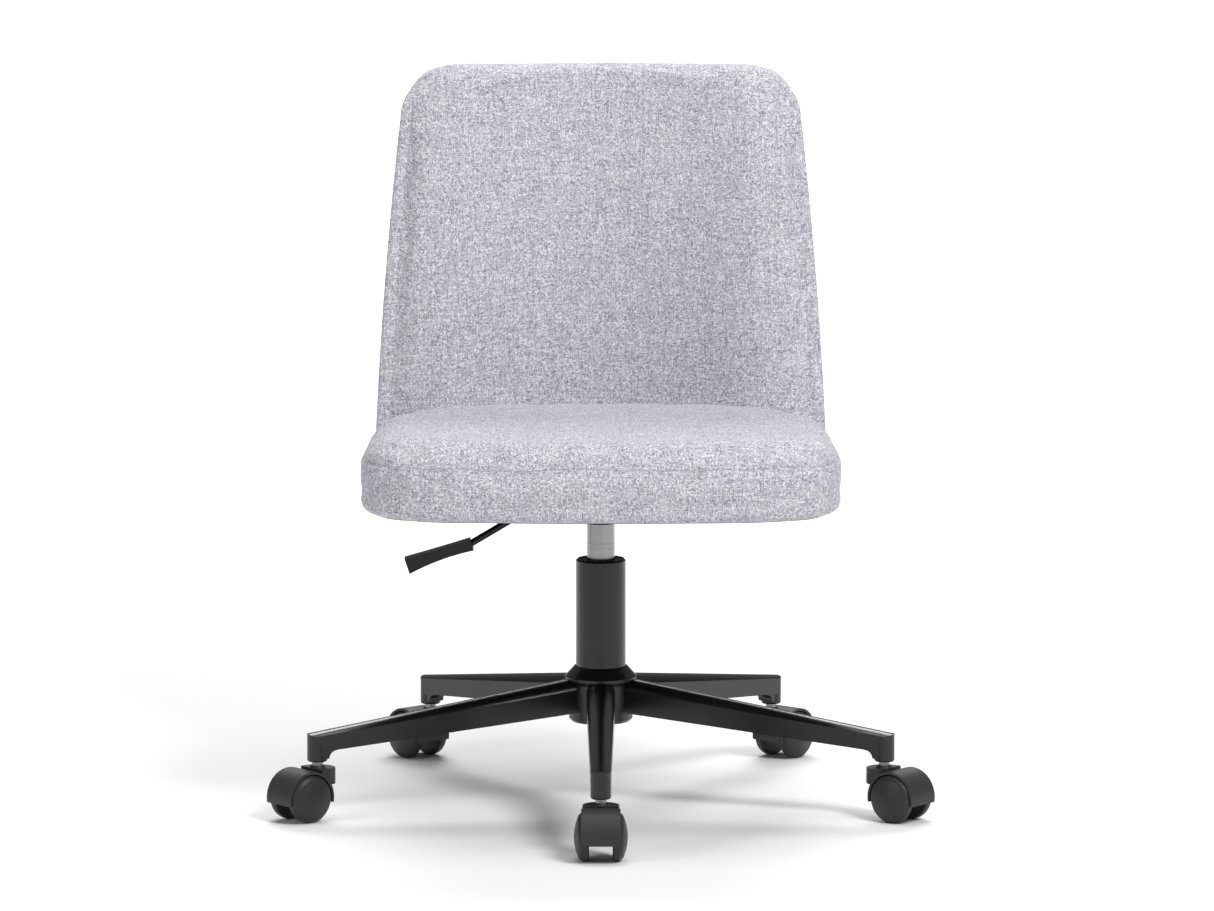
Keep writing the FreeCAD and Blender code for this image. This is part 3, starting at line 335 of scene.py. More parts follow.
@dataclass(frozen=True)
class HeatherFabric(Finish):
    """Woven upholstery cloth with light and dark slubs, and, where a seam is given, painted shade along it.
    """

    base: Colour = (0.490, 0.482, 0.530)
    dark: Colour = (0.262, 0.252, 0.310)
    light: Colour = (0.755, 0.753, 0.790)
    slub_length: float = 2.3 * MM
    slub_width: float = 0.85 * MM
    wander: float = 0.9 * MM
    level_limit: float = 0.66
    patchy: float = 0.16
    streaky: float = 0.2
    streak_stretch: float = 9.0
    dark_range: Point = (0.08, 0.34)
    light_range: Point = (0.66, 0.92)
    relief: float = 0.35 * MM
    seam: Optional[Seam] = None

    def plane(self, graph: Graph, place: Value) -> tuple[Value, Value]:
        """Choose the directions of weft and warp from the way the surface faces.

        Args:
            graph: The node tree.
            place: Position on the piece.

        Returns:
            The two coordinates that lie in the cloth.
        """
        x, y, z = place.split()
        fx, fy, fz = abs(graph.facing()).split()
        level = fz > self.level_limit
        sideways = (fx > fy) * (1.0 - level)
        return graph.mix(sideways, x, y), graph.mix(level, z, y)

    def slubs(
        self, graph: Graph, along: Value, across: Value, shift: float, longer: float = 1.0
    ) -> Value:
        """Lay yarn floats that run one way.

        Args:
            graph: The node tree.
            along: Coordinate along the yarn.
            across: Coordinate across the yarn.
            shift: Number that sets this layer's random draws apart.
            longer: How many times the floats are stretched.

        Returns:
            Random tone of the float at each place.
        """
        row = (across / self.slub_width + shift).floor()
        start = graph.dice(graph.join(row, shift, 0.5)) * 7.0
        cell = (along / (self.slub_length * longer) + start).floor()
        return graph.dice(graph.join(cell, row, shift))

    def sockets(self, graph: Graph, place: Value) -> dict[str, Operand]:
        """Two crossing layers of slubs under soft patches; see Finish."""
        across, up = self.plane(graph, place)
        wander = (graph.clouds(place, 90.0, 1.0) - 0.5) * self.wander
        weft = self.slubs(graph, across + wander, up + wander, 3.0)
        warp = self.slubs(graph, up + wander, across - wander, 11.0)
        knot = self.slub_width * 2.0
        over = graph.dice(graph.join((across / knot).floor(), (up / knot).floor(), 5.0)) > 0.5
        tone = graph.mix(over, weft, warp)
        patch = graph.clouds(place, 55.0, 3.0, 0.6)
        stretch = self.streak_stretch
        runs = self.slubs(graph, across, up, 19.0, stretch) + self.slubs(graph, up, across, 23.0, stretch)
        tone = tone + (patch - 0.5) * self.patchy + (runs - 1.0) * self.streaky
        colour = graph.blend(1.0 - tone.ramp(*self.dark_range), self.base, self.dark)
        colour = graph.blend(tone.ramp(*self.light_range), colour, self.light)
        colour = colour * (0.97 + graph.clouds(place, 7.0, 2.0) * 0.06)
        turn = math.pi / self.slub_width
        thread = (across * turn).sine() * (up * turn).sine()
        height = abs(thread) * 0.45 + tone * 0.4 + graph.clouds(place, 1600.0, 2.0) * 0.25
        if self.seam:
            line = self.seam.mask(graph, place)
            # painted shade: the seam line darkens the cloth towards the dark yarn colour, standing in for
            # shade in the seam's groove; the height below dents the groove
            colour = graph.blend(line * 0.35, colour, self.dark)
            height = height - line * 1.2
        return dict(
            Base_Color=colour, Roughness=0.92, Specular_IOR_Level=0.22, Sheen_Weight=0.12,
            Sheen_Roughness=0.45, Normal=graph.bump(height, self.relief, 0.75),
        )


@dataclass(frozen=True)
class NonWoven(Finish):
    """Thin pressed cloth."""

    base: Colour = (0.022, 0.022, 0.024)
    fibre: Colour = (0.05, 0.05, 0.053)
    dimple: float = 2.2 * MM
    relief: float = 0.2 * MM

    def sockets(self, graph: Graph, place: Value) -> dict[str, Operand]:
        """Fibres and pressed dimples; see Finish."""
        fibres = graph.clouds(place * (1.0, 2.4, 1.0), 900.0, 4.0, 0.7)
        x, y, _ = place.split()
        turn = math.pi / self.dimple
        dimple = abs((x * turn).sine() * (y * turn).sine())
        return dict(
            Base_Color=graph.blend(fibres.ramp(0.35, 0.75), self.base, self.fibre),
            Roughness=0.88 + fibres * 0.08,
            Normal=graph.bump(dimple * 0.6 + fibres * 0.5, self.relief, 0.8),
        )


@dataclass(frozen=True)
class PowderCoat(Finish):
    """Satin paint with a fine orange peel."""

    base: Colour = (0.0035, 0.0035, 0.0040)
    hazy: Colour = (0.009, 0.009, 0.010)
    roughness: float = 0.25
    relief: float = 0.03 * MM

    def sockets(self, graph: Graph, place: Value) -> dict[str, Operand]:
        """Orange peel, haze and paler grains; see Finish."""
        peel = graph.clouds(place, 750.0, 2.0)
        haze = graph.clouds(place, 26.0, 3.0)
        grains = graph.clouds(place, 3400.0, 1.0).ramp(0.66, 0.8)
        return dict(
            Base_Color=graph.blend(grains * 0.5 + haze * 0.3, self.base, self.hazy),
            Roughness=self.roughness + (haze - 0.5) * 0.10 + grains * 0.05,
            Specular_IOR_Level=0.5, Normal=graph.bump(peel, self.relief, 0.5),
        )


@dataclass(frozen=True)
class GroundSteel(Finish):
    """Bright ground and plated rod, with faint rings where the bush rubs it."""

    base: Colour = (0.33, 0.33, 0.34)
    worn: Colour = (0.30, 0.295, 0.29)
    rings: tuple[float, ...] = ()
    ring_width: Point = (0.15 * MM, 0.75 * MM)
    roughness: float = 0.22
    relief: float = 0.008 * MM

    def sockets(self, graph: Graph, place: Value) -> dict[str, Operand]:
        """Turning marks, smears and rubbed rings; see Finish."""
        z = place.split()[2]
        turning = graph.clouds(graph.join(0.0, 0.0, z), 5200.0, 2.0)
        smear = graph.clouds(place * (1.0, 1.0, 0.25), 160.0, 3.0)
        wave = (graph.clouds(place, 90.0, 1.0) - 0.5) * (0.5 * MM)
        worn: Operand = 0.0
        for ring in self.rings:
            worn = worn + (1.0 - abs(z - ring + wave).ramp(*self.ring_width))
        return dict(
            Base_Color=graph.blend(worn * 0.55 + smear * 0.12, self.base, self.worn), Metallic=1.0,
            Roughness=self.roughness + smear * 0.10 + worn * 0.12,
            Normal=graph.bump(turning, self.relief, 0.5),
        )


@dataclass(frozen=True)
class ZincSteel(Finish):
    """Zinc-plated hardware with a soft mottle."""

    base: Colour = (0.46, 0.46, 0.475)
    dull: Colour = (0.30, 0.30, 0.32)
    relief: float = 0.01 * MM

    def sockets(self, graph: Graph, place: Value) -> dict[str, Operand]:
        """Mottle and fine scratches; see Finish."""
        mottle = graph.clouds(place, 320.0, 4.0, 0.65)
        scratch = graph.clouds(place * (1.0, 6.0, 1.0), 900.0, 2.0).ramp(0.6, 0.8)
        return dict(
            Base_Color=graph.blend(mottle, self.base, self.dull), Metallic=1.0,
            Roughness=0.30 + mottle * 0.18, Normal=graph.bump(scratch, self.relief, 0.5),
        )


@dataclass(frozen=True)
class MouldedPlastic(Finish):
    """Injection-moulded plastic with a spark-eroded grain and light scuffs."""

    base: Colour = (0.022, 0.022, 0.024)
    worn: Colour = (0.055, 0.055, 0.058)
    roughness: float = 0.46
    grain: float = 2400.0
    scuffs: float = 0.35
    relief: float = 0.05 * MM

    def sockets(self, graph: Graph, place: Value) -> dict[str, Operand]:
        """Grain, patches and scuffs; see Finish."""
        grain = graph.clouds(place, self.grain, 2.0)
        patch = graph.clouds(place, 60.0, 3.0)
        marks = graph.clouds(place * (1.0, 1.0, 4.0), 240.0, 4.0, 0.7)
        scuff = marks.ramp(0.58, 0.78) * patch.ramp(0.4, 0.7)
        return dict(
            Base_Color=graph.blend(scuff * self.scuffs + patch * 0.15, self.base, self.worn),
            Roughness=self.roughness + (patch - 0.5) * 0.12 + scuff * 0.12,
            Specular_IOR_Level=0.32, Normal=graph.bump(grain, self.relief, 0.7),
        )


@dataclass(frozen=True)
class Plywood(Finish):
    """Rotary-cut beech ply: long grain on the faces and stacked layers at the edges."""

    base: Colour = (0.58, 0.40, 0.235)
    late: Colour = (0.36, 0.22, 0.115)
    fleck: Colour = (0.24, 0.14, 0.07)
    layer: float = 1.5 * MM
    relief: float = 0.1 * MM

    def sockets(self, graph: Graph, place: Value) -> dict[str, Operand]:
        """Grain, flecks and, on the edges, layers; see Finish."""
        grain = graph.clouds(place * (1.0, 0.08, 1.0), 240.0, 5.0, 0.62)
        fleck = graph.clouds(place * (1.0, 0.2, 1.0), 1400.0, 2.0).ramp(0.58, 0.7)
        stack = (place.split()[2] / self.layer).floor() % 2.0
        ply = stack * (1.0 - abs(graph.facing()).split()[2].ramp(0.4, 0.8))
        colour = graph.blend(grain * 0.6 + ply * 0.35, self.base, self.late)
        return dict(
            Base_Color=graph.blend(fleck * 0.35, colour, self.fleck),
            Roughness=0.62 + grain * 0.15, Normal=graph.bump(grain, self.relief, 0.5),
        )


@dataclass(frozen=True)
class StudioPaper(Finish):
    """Seamless backdrop paper."""

    base: Colour = (0.93, 0.93, 0.93)
    tooth: Colour = (0.88, 0.88, 0.88)

    def sockets(self, graph: Graph, place: Value) -> dict[str, Operand]:
        """Faint paper tooth; see Finish."""
        tooth = graph.clouds(place, 160.0, 3.0) * 0.05
        return dict(
            Base_Color=graph.blend(tooth, self.base, self.tooth), Roughness=0.95,
            Specular_IOR_Level=0.1,
        )


# ------------------------------------------------------------------ soft shapes

def smooth(t: float) -> float:
    """Ease from zero to one with level ends."""
    t = min(max(t, 0.0), 1.0)
    return t * t * (3.0 - 2.0 * t)


def bell(distance: float, width: float) -> float:
    """One at no distance, fading to nothing over a few widths."""
    return math.exp(-(distance / width) ** 2)


def inward_normals(outline: Sequence[Vector]) -> list[Vector]:
    """Find the direction that points inwards at each point of a closed outline.

    Args:
        outline: Points that run anticlockwise.

    Returns:
        Unit vectors.
    """
    normals = []
    for i in range(len(outline)):
        tangent = outline[(i + 1) % len(outline)] - outline[i - 1]
        normals.append(Vector((-tangent.y, tangent.x)).normalized())
    return normals


def skin(rows: Sequence[Sequence[Vector]], name: str) -> bpy.types.Object:
    """Draw a closed surface through rings, with a flat cap on the first and last ring.

    Args:
        rows: Rings of equal length.
        name: Name of the piece.

    Returns:
        The piece.
    """
    count = len(rows[0])
    points = [tuple(point) for row in rows for point in row]
    faces: list[tuple[int, ...]] = []
    for level in range(len(rows) - 1):
        for i in range(count):
            j = (i + 1) % count
            below, above = level * count, (level + 1) * count
            faces.append((below + i, below + j, above + j, above + i))
    faces.append(tuple(reversed(range(count))))
    last = (len(rows) - 1) * count
    faces.append(tuple(range(last, last + count)))
    mesh = bpy.data.meshes.new(name)
    mesh.from_pydata(points, [], faces)
    mesh.update()
    return link(name, mesh)


def link(name: str, mesh: bpy.types.Mesh) -> bpy.types.Object:
    """Put a mesh in the scene with smooth faces.

    Args:
        name: Name of the piece.
        mesh: Its mesh.

    Returns:
        The piece.
    """
    piece = bpy.data.objects.new(name, mesh)
    bpy.context.scene.collection.objects.link(piece)
    mesh.polygons.foreach_set("use_smooth", [True] * len(mesh.polygons))
    return piece


def baked(piece: bpy.types.Object) -> bpy.types.Mesh:
    """Apply a piece's modifiers.

    Args:
        piece: The piece, which stays as it is.

    Returns:
        A new mesh.
    """
    bpy.context.view_layer.update()
    evaluated = piece.evaluated_get(bpy.context.evaluated_depsgraph_get())
    return bpy.data.meshes.new_from_object(evaluated)


def clothe(piece: bpy.types.Object, material: bpy.types.Material) -> None:
    """Give a piece one material in place of any that it has."""
    piece.data.materials.clear()
    piece.data.materials.append(material)


def settle(piece: bpy.types.Object) -> None:
    """Replace a piece's mesh with the result of its modifiers.

    Args:
        piece: The piece.
    """
    mesh = baked(piece)
    old = piece.data
    piece.modifiers.clear()
    piece.data = mesh
    bpy.data.meshes.remove(old)
    mesh.polygons.foreach_set("use_smooth", [True] * len(mesh.polygons))


@dataclass(frozen=True)
class Stuffing:
    """How a sewn case fills out: mesh size, pressure and steps, and how much of the motion is kept."""

    cell: float = 5.0 * MM
    pressure: float = 4.0
    frames: int = 20
    reach: float = 7.0 * MM
    share: float = 1.0
    ease: int = 3
    CLOTH: ClassVar[dict[str, Number]] = {
        "quality": 5, "mass": 0.3, "tension_stiffness": 12.0, "compression_stiffness": 12.0,
        "shear_stiffness": 6.0, "bending_stiffness": 0.6, "use_pressure": True,
    }

    def fill(self, piece: bpy.types.Object, freedom: Callable[[Vector], float]) -> None:
        """Remesh a closed case evenly, then let cloth under pressure fill it out.

        Args:
            piece: The case; its mesh is replaced.
            freedom: From a point at rest, how freely it moves, from 0 to 1.
        """
        remesh = piece.modifiers.new("even", "REMESH")
        remesh.mode = "VOXEL"
        remesh.voxel_size = self.cell
        self._relax(piece, self.ease)
        settle(piece)
        self._press(piece, freedom)
        self._relax(piece, 1)
        piece.modifiers.new("finer", "SUBSURF").levels = 1
        settle(piece)

    def _relax(self, piece: bpy.types.Object, rounds: int) -> None:
        """Add a modifier that evens the mesh out by halves, a number of times."""
        relax = piece.modifiers.new("relax", "SMOOTH")
        relax.factor = 0.5
        relax.iterations = rounds

    def _press(self, piece: bpy.types.Object, freedom: Callable[[Vector], float]) -> None:
        """Run the cloth and keep a capped share of the motion.

        Args:
            piece: The evenly meshed case.
            freedom: From a point at rest, how freely it moves, from 0 to 1.
        """
        scene = bpy.context.scene
        cloth = piece.modifiers.new("cloth", "CLOTH")
        for name, value in self.CLOTH.items():
            setattr(cloth.settings, name, value)
        cloth.settings.uniform_pressure_force = self.pressure
        cloth.settings.effector_weights.gravity = 0.0
        cloth.point_cache.frame_start = 1
        cloth.point_cache.frame_end = self.frames
        for number in range(1, self.frames + 1):
            scene.frame_set(number)
        pressed = baked(piece)
        piece.modifiers.clear()
        for vertex, moved in zip(piece.data.vertices, pressed.vertices):
            step = (moved.co - vertex.co) * (self.share * freedom(vertex.co))
            if step.length > self.reach:
                step = step * (self.reach / step.length)
            vertex.co = vertex.co + step
        bpy.data.meshes.remove(pressed)
        scene.frame_set(1)


@dataclass(frozen=True)
class Swell:
    """A width that grows on its way down: least and gain in millimetres, top and run in metres."""

    least: float
    gain: float
    top: float
    run: float

    def at(self, z: float) -> float:
        """Width at a height, in metres."""
        return (self.least + self.gain * smooth((self.top - z) / self.run)) * MM


@dataclass(frozen=True)
class BackShape:
    """The curves of the backrest, in metres, as functions of height.

    strip is how much of the outer panel shows beyond the front panel's seam. roll_width and roll are the
    width and the depth of the padded roll along the wing's edge.
    """

    low: float
    top: float
    seat_level: float = 0.372
    front: float = 0.170
    lean: float = 0.16
    lean_curve: float = 0.12
    half: float = 0.2266
    taper: float = 0.045
    taper_curve: float = 0.114
    wing: float = 0.070
    wing_fade: float = 0.12
    steepest: float = 0.80
    thick: float = 0.046
    thinning: float = 0.036
    corner: float = 0.042
    squareness: float = 3.2
    strip: Swell = Swell(2.4, 1.0, 0.68, 0.30)
    roll_width: Swell = Swell(34.0, 12.0, 0.70, 0.36)
    roll: Swell = Swell(14.0, 3.0, 0.70, 0.36)

    def front_y(self, z: float) -> float:
        """Middle line of the face that the sitter leans on."""
        rise = z - self.seat_level
        return self.front + self.lean * rise + self.lean_curve * rise ** 2

    def edge_y(self, z: float) -> float:
        """Front edge of the wings."""
        return self.front_y(z) - self.wing + self.wing_fade * (z - self.seat_level)

    def full_half(self, z: float) -> float:
        """Half width without the rounded top corners."""
        rise = z - self.seat_level
        return self.half - self.taper * rise - self.taper_curve * rise * abs(rise)

    def half_at(self, z: float, lower: float = 0.0) -> float:
        """Find the half width with the top corners rounded.

        Args:
            z: Height.
            lower: How far the outline's top is lowered.

        Returns:
            Half width.
        """
        shoulder = self.top - lower - self.corner
        if z <= shoulder:
            return self.full_half(z)
        flat = self.full_half(shoulder) - self.corner
        rise = min(z - shoulder, self.corner)
        return flat + math.sqrt(max(self.corner ** 2 - rise ** 2, 0.0))

    def rear_y(self, z: float) -> float:
        """Rear face on the middle line."""
        return self.front_y(z) + self.thick - self.thinning * (z - self.seat_level)

    def wing_slope(self, z: float) -> float:
        """Steepest slope of the pad on its way from the middle to the wing's roll."""
        return self.steepest * (self.wing - self.wing_fade * (z - self.seat_level)) / self.wing


def turns(count: int) -> list[float]:
    """Evenly spaced angles once round, in radians."""
    return [2.0 * math.pi * i / count for i in range(count)]


def arc(centre: Point, radius: float, start: float, end: float, count: int) -> list[Point]:
    """Draw part of a circle.

    Args:
        centre: Its centre.
        radius: Its radius.
        start: First angle in degrees.
        end: Last angle in degrees.
        count: Number of steps.

    Returns:
        Points, ends included.
    """
    points = []
    for i in range(count + 1):
        turn = math.radians(start + (end - start) * i / count)
        points.append((centre[0] + radius * math.cos(turn), centre[1] + radius * math.sin(turn)))
    return points


def bezier(a: Point, b: Point, c: Point, d: Point, count: int) -> list[Point]:
    """Draw a cubic curve.

    Args:
        a: Start.
        b: First handle.
        c: Second handle.
        d: End.
        count: Number of steps.

    Returns:
        Points, the last one left out.
    """
    points = []
    for i in range(count):
        t = i / count
        s = 1.0 - t
        weights = (s ** 3, 3 * s * s * t, 3 * s * t * t, t ** 3)
        points.append(tuple(sum(w * p[k] for w, p in zip(weights, (a, b, c, d))) for k in (0, 1)))
    return points


def super_arc(
    half: float, edge: float, deep: float, start: float, power: float, count: int
) -> list[Point]:
    """Draw a quarter of a squared ellipse, from the side to the middle of the rear.

    Args:
        half: Half width.
        edge: Y where the ellipse is widest.
        deep: Y of the rear.
        start: Share of the depth at which it begins.
        power: Squareness, 2 for a plain ellipse.
        count: Number of steps.

    Returns:
        Points, ends included.
    """
    points = []
    begin = math.asin(min(max(start, 0.0), 1.0) ** (power / 2))
    for i in range(count + 1):
        turn = begin + (math.pi / 2 - begin) * i / count
        c, s = max(math.cos(turn), 0.0), math.sin(turn)
        points.append((half * c ** (2 / power), edge + (deep - edge) * s ** (2 / power)))
    return points


def mirrored(half: Sequence[Point]) -> list[Point]:
    """Closed loop from a half loop that starts and ends on the middle line."""
    return list(half) + [(-x, y) for x, y in reversed(half[1:-1])]


@dataclass
class Backrest:
    """Padded front panel that rolls over the wings and the top, and the outer panel behind it."""

    fabric: bpy.types.Material
    roll_power: float = 2.7
    shell_gap: float = 10.0 * MM
    least_rise: float = 4.0 * MM
    pull: float = 0.55
    flat_share: float = 0.40
    rear_start: float = 0.25
    middle_power: int = 4
    pad_lift: float = 2.0 * MM
    pad_rise: float = 3.0 * MM
    top_roll: float = 14.0 * MM
    pad_foot: tuple[Point, ...] = ((0.0, 0.62), (3.0 * MM, 0.86))
    pad_full: float = 8.0 * MM
    pad_levels: int = 44
    least_squeeze: float = 0.36
    cover_tip: float = 12.3 * MM
    cover_strip: float = 15.0 * MM
    cover_depth: float = 20.0 * MM
    cover_blunt: float = 0.55
    cover_lift: float = 1.0 * MM
    cover_drop: float = 9.0 * MM
    cover_corner: float = 10.0 * MM
    cover_levels: int = 72
    cover_cap: tuple[Point, ...] = ((1.6, 1.5), (2.8, 4.0))
    stuffing: Stuffing = Stuffing(cell=4.0 * MM, ease=2, reach=5.0 * MM, share=0.8)

    def __post_init__(self) -> None:
        """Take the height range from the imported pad."""
        low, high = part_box("back_pad")
        self.shape = BackShape(low=low.z, top=high.z)

    def pad_loop(self, z: float, squeeze: float) -> list[Vector]:
        """Draw the plan section of the front panel's case.

        Args:
            z: Height.
            squeeze: Share of the full thickness that is left.

        Returns:
            Closed loop of points: middle of the face, wing's roll, flank, rear, and back mirrored.
        """
        s = self.shape
        full = s.full_half(z)
        outer = full - s.strip.at(z)
        deep_roll, wide_roll = s.roll.at(z), s.roll_width.at(z)
        centre = (outer - wide_roll, s.edge_y(z) + deep_roll)
        front = s.front_y(z)
        slope = s.wing_slope(z)
        lean = math.atan(slope * wide_roll / deep_roll)
        touch = (centre[0] - wide_roll * math.sin(lean), centre[1] - deep_roll * math.cos(lean))
        pull = max(front - touch[1], self.least_rise) * self.pull
        before = (touch[0] - pull / slope, touch[1] + pull)
        half = bezier((0.0, front), (touch[0] * self.flat_share, front), before, touch, 18)
        half += [
            (centre[0] + x * wide_roll, centre[1] + y * deep_roll)
            for x, y in arc((0.0, 0.0), 1.0, -90.0 - math.degrees(lean), -90.0, 8)
        ]
        flank = super_arc(wide_roll, 0.0, deep_roll, 0.0, self.roll_power, 10)
        half += [(centre[0] + x, centre[1] - y) for x, y in reversed(flank[:-1])]
        deep = s.rear_y(z) - self.shell_gap
        start = max((centre[1] - s.edge_y(z)) / (deep - s.edge_y(z)), self.rear_start)
        behind = super_arc(outer, s.edge_y(z), deep, start, s.squareness, 16)
        half += [(min(x, outer), y) for x, y in behind[1:]]
        narrow = s.half_at(z) / full
        loop = []
        for x, y in mirrored(half):
            rest = self._middle_y(z, abs(x))
            loop.append(Vector((x * narrow, rest + (y - rest) * squeeze, z)))
        return loop

    def _middle_y(self, z: float, x: float) -> float:
        """Find the layer halfway through the pad.

        Args:
            z: Height.
            x: Distance from the middle line.

        Returns:
            That layer's y.
        """
        s = self.shape
        front, rear = s.front_y(z), s.rear_y(z) - self.shell_gap
        wing = s.edge_y(z) + s.roll.at(z)
        share = (x / s.full_half(z)) ** self.middle_power
        return (front + rear) / 2 * (1.0 - share) + wing * share

    def _freedom(self, point: Vector) -> float:
        """Find how freely the front panel's cloth moves.

        Args:
            point: Place on the case.

        Returns:
            One on the face; zero behind the seam, on the rear and at the foot.
        """
        s = self.shape
        seam = s.edge_y(point.z) + s.roll.at(point.z)
        outward = smooth((abs(point.x) / s.full_half(point.z) - 0.80) / 0.1)
        hidden = smooth((point.y - seam) / (12.0 * MM)) * outward
        behind = smooth((point.y - (s.front_y(point.z) + 14.0 * MM)) / (10.0 * MM))
        below = smooth((point.z - s.low) / (30.0 * MM))
        return (1.0 - max(hidden, behind)) * below

    def pad(self) -> bpy.types.Object:
        """Make the front panel: a closed case, stuffed.

        Returns:
            The piece.
        """
        s = self.shape
        low, top, roll, foot = s.low + self.pad_lift, s.top + self.pad_rise, self.top_roll, self.pad_full
        rows = [self.pad_loop(low + rise, squeeze) for rise, squeeze in self.pad_foot]
        for i in range(self.pad_levels + 1):
            z = low + foot + (top - roll - low - foot) * i / self.pad_levels
            rows.append(self.pad_loop(z, 1.0))
        for turn in range(10, 90, 10):
            angle = math.radians(turn)
            squeeze = max(math.cos(angle), self.least_squeeze)
            rows.append(self.pad_loop(top - roll + roll * math.sin(angle), squeeze))
        piece = skin(rows, "back_front_panel")
        self.stuffing.fill(piece, self._freedom)
        return piece

    def cover_loop(self, z: float, inset: float) -> list[Vector]:
        """Draw the plan section of the outer panel.

        Args:
            z: Height.
            inset: How far the rear face is drawn in.

        Returns:
            Closed loop of points: inner face, blunt tip, outer face, and back mirrored.
        """
        s = self.shape
        full = s.full_half(z)
        edge = s.edge_y(z)
        seam = edge + self.cover_tip
        deep = s.rear_y(z) - inset
        inner_deep = s.rear_y(z) - self.cover_depth
        share = (seam - edge) / (deep - edge)
        outer = super_arc(full, edge, deep, share, s.squareness, 22)
        inner = super_arc(full - self.cover_strip, edge, inner_deep, share + 0.02, s.squareness, 22)
        middle_x = (outer[0][0] + inner[0][0]) / 2
        tip = [
            (x, seam + (y - seam) * self.cover_blunt)
            for x, y in arc((middle_x, seam), (outer[0][0] - inner[0][0]) / 2, 180.0, 360.0, 8)
        ]
        half = list(reversed(inner)) + tip[1:-1] + outer
        narrow = s.half_at(z, self.cover_corner) / full
        return [Vector((x * narrow, y, z)) for x, y in mirrored(half)]

    def cover(self) -> bpy.types.Object:
        """Make the outer panel: a thin padded skin drawn over the moulded shell.

        Returns:
            The piece.
        """
        s = self.shape
        low, top = s.low + self.cover_lift, s.top - self.cover_drop
        rows = []
        for i in range(self.cover_levels + 1):
            rows.append(self.cover_loop(low + (top - low) * i / self.cover_levels, 0.0))
        for rise, inset in self.cover_cap:
            rows.append(self.cover_loop(top + rise * MM, inset * MM))
        piece = skin(rows, "back_outer_panel")
        for vertex in piece.data.vertices:
            place = vertex.co * 9.0
            drift = noise.noise(place) * 0.7 * MM + noise.noise(place * 4.0) * 0.2 * MM
            away = Vector((vertex.co.x, vertex.co.y - 0.1, 0.0)).normalized()
            if vertex.co.y > s.edge_y(vertex.co.z) + 0.05:
                vertex.co += away * drift
        return piece

    def build(self) -> None:
        pad = self.pad()
        cover = self.cover()
        for piece, node, fill in ((pad, "back_pad", 0.8), (cover, "back_cover", 0.9)):
            clothe(piece, self.fabric)
            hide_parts(node)
            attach(piece, "seat")
            LOG.info("%s: %d faces", piece.name, len(piece.data.polygons))


@dataclass(frozen=True)
class SeatShape:
    """Sizes of the seat cushion, in metres."""

    front: float = 0.232
    low_at_front: float = 0.319
    rake: float = math.radians(1.8)
    thick: float = 0.070
    widest: float = 0.026
    top_reach: float = 0.031
    top_reach_front: float = 0.052
    widest_front: float = 0.021
    top_reach_rear: float = 0.018
    top_power: float = 2.3
    top_power_front: float = 1.9
    low_reach: float = 0.0175
    low_power: float = 2.2
    crown: float = 0.0035
    seam: float = 0.052
    wrap: float = 0.0012
    outset: float = 6.0 * MM

    def wide_at(self, frontal: float) -> float:
        """Height of the widest line above the lower face, lower at the front."""
        return self.widest + (self.widest_front - self.widest) * frontal

    def low_z(self, y: float) -> float:
        """Height of the cushion's lower face."""
        return self.low_at_front - (y + self.front) * math.tan(self.rake)

    def under(self, share: float, frontal: float) -> Point:
        """Trace the lower rounding.

        Args:
            share: From zero at the bottom to one at the widest line.
            frontal: How far the place faces the front, from 0 to 1.

        Returns:
            Inset from the outline and height above the lower face.
        """
        rise = 1.0 - (1.0 - share ** self.low_power) ** (1.0 / self.low_power)
        return self.low_reach * (1.0 - share), -self.wrap + (self.wide_at(frontal) + self.wrap) * rise

    def over(self, share: float, frontal: float, rearward: float) -> Point:
        """Trace the upper rounding.

        Args:
            share: From zero at the widest line to one at the top.
            frontal: How far the place faces the front, from 0 to 1.
            rearward: How near the place is to the rear, from 0 to 1.

        Returns:
            Inset from the outline and height above the lower face.
        """
        reach = self.top_reach + (self.top_reach_front - self.top_reach) * frontal
        reach += (self.top_reach_rear - reach) * rearward
        power = self.top_power + (self.top_power_front - self.top_power) * frontal
        rise = (1.0 - (1.0 - share) ** power) ** (1.0 / power)
        wide = self.wide_at(frontal)
        return reach * share, wide + (self.thick - wide) * rise


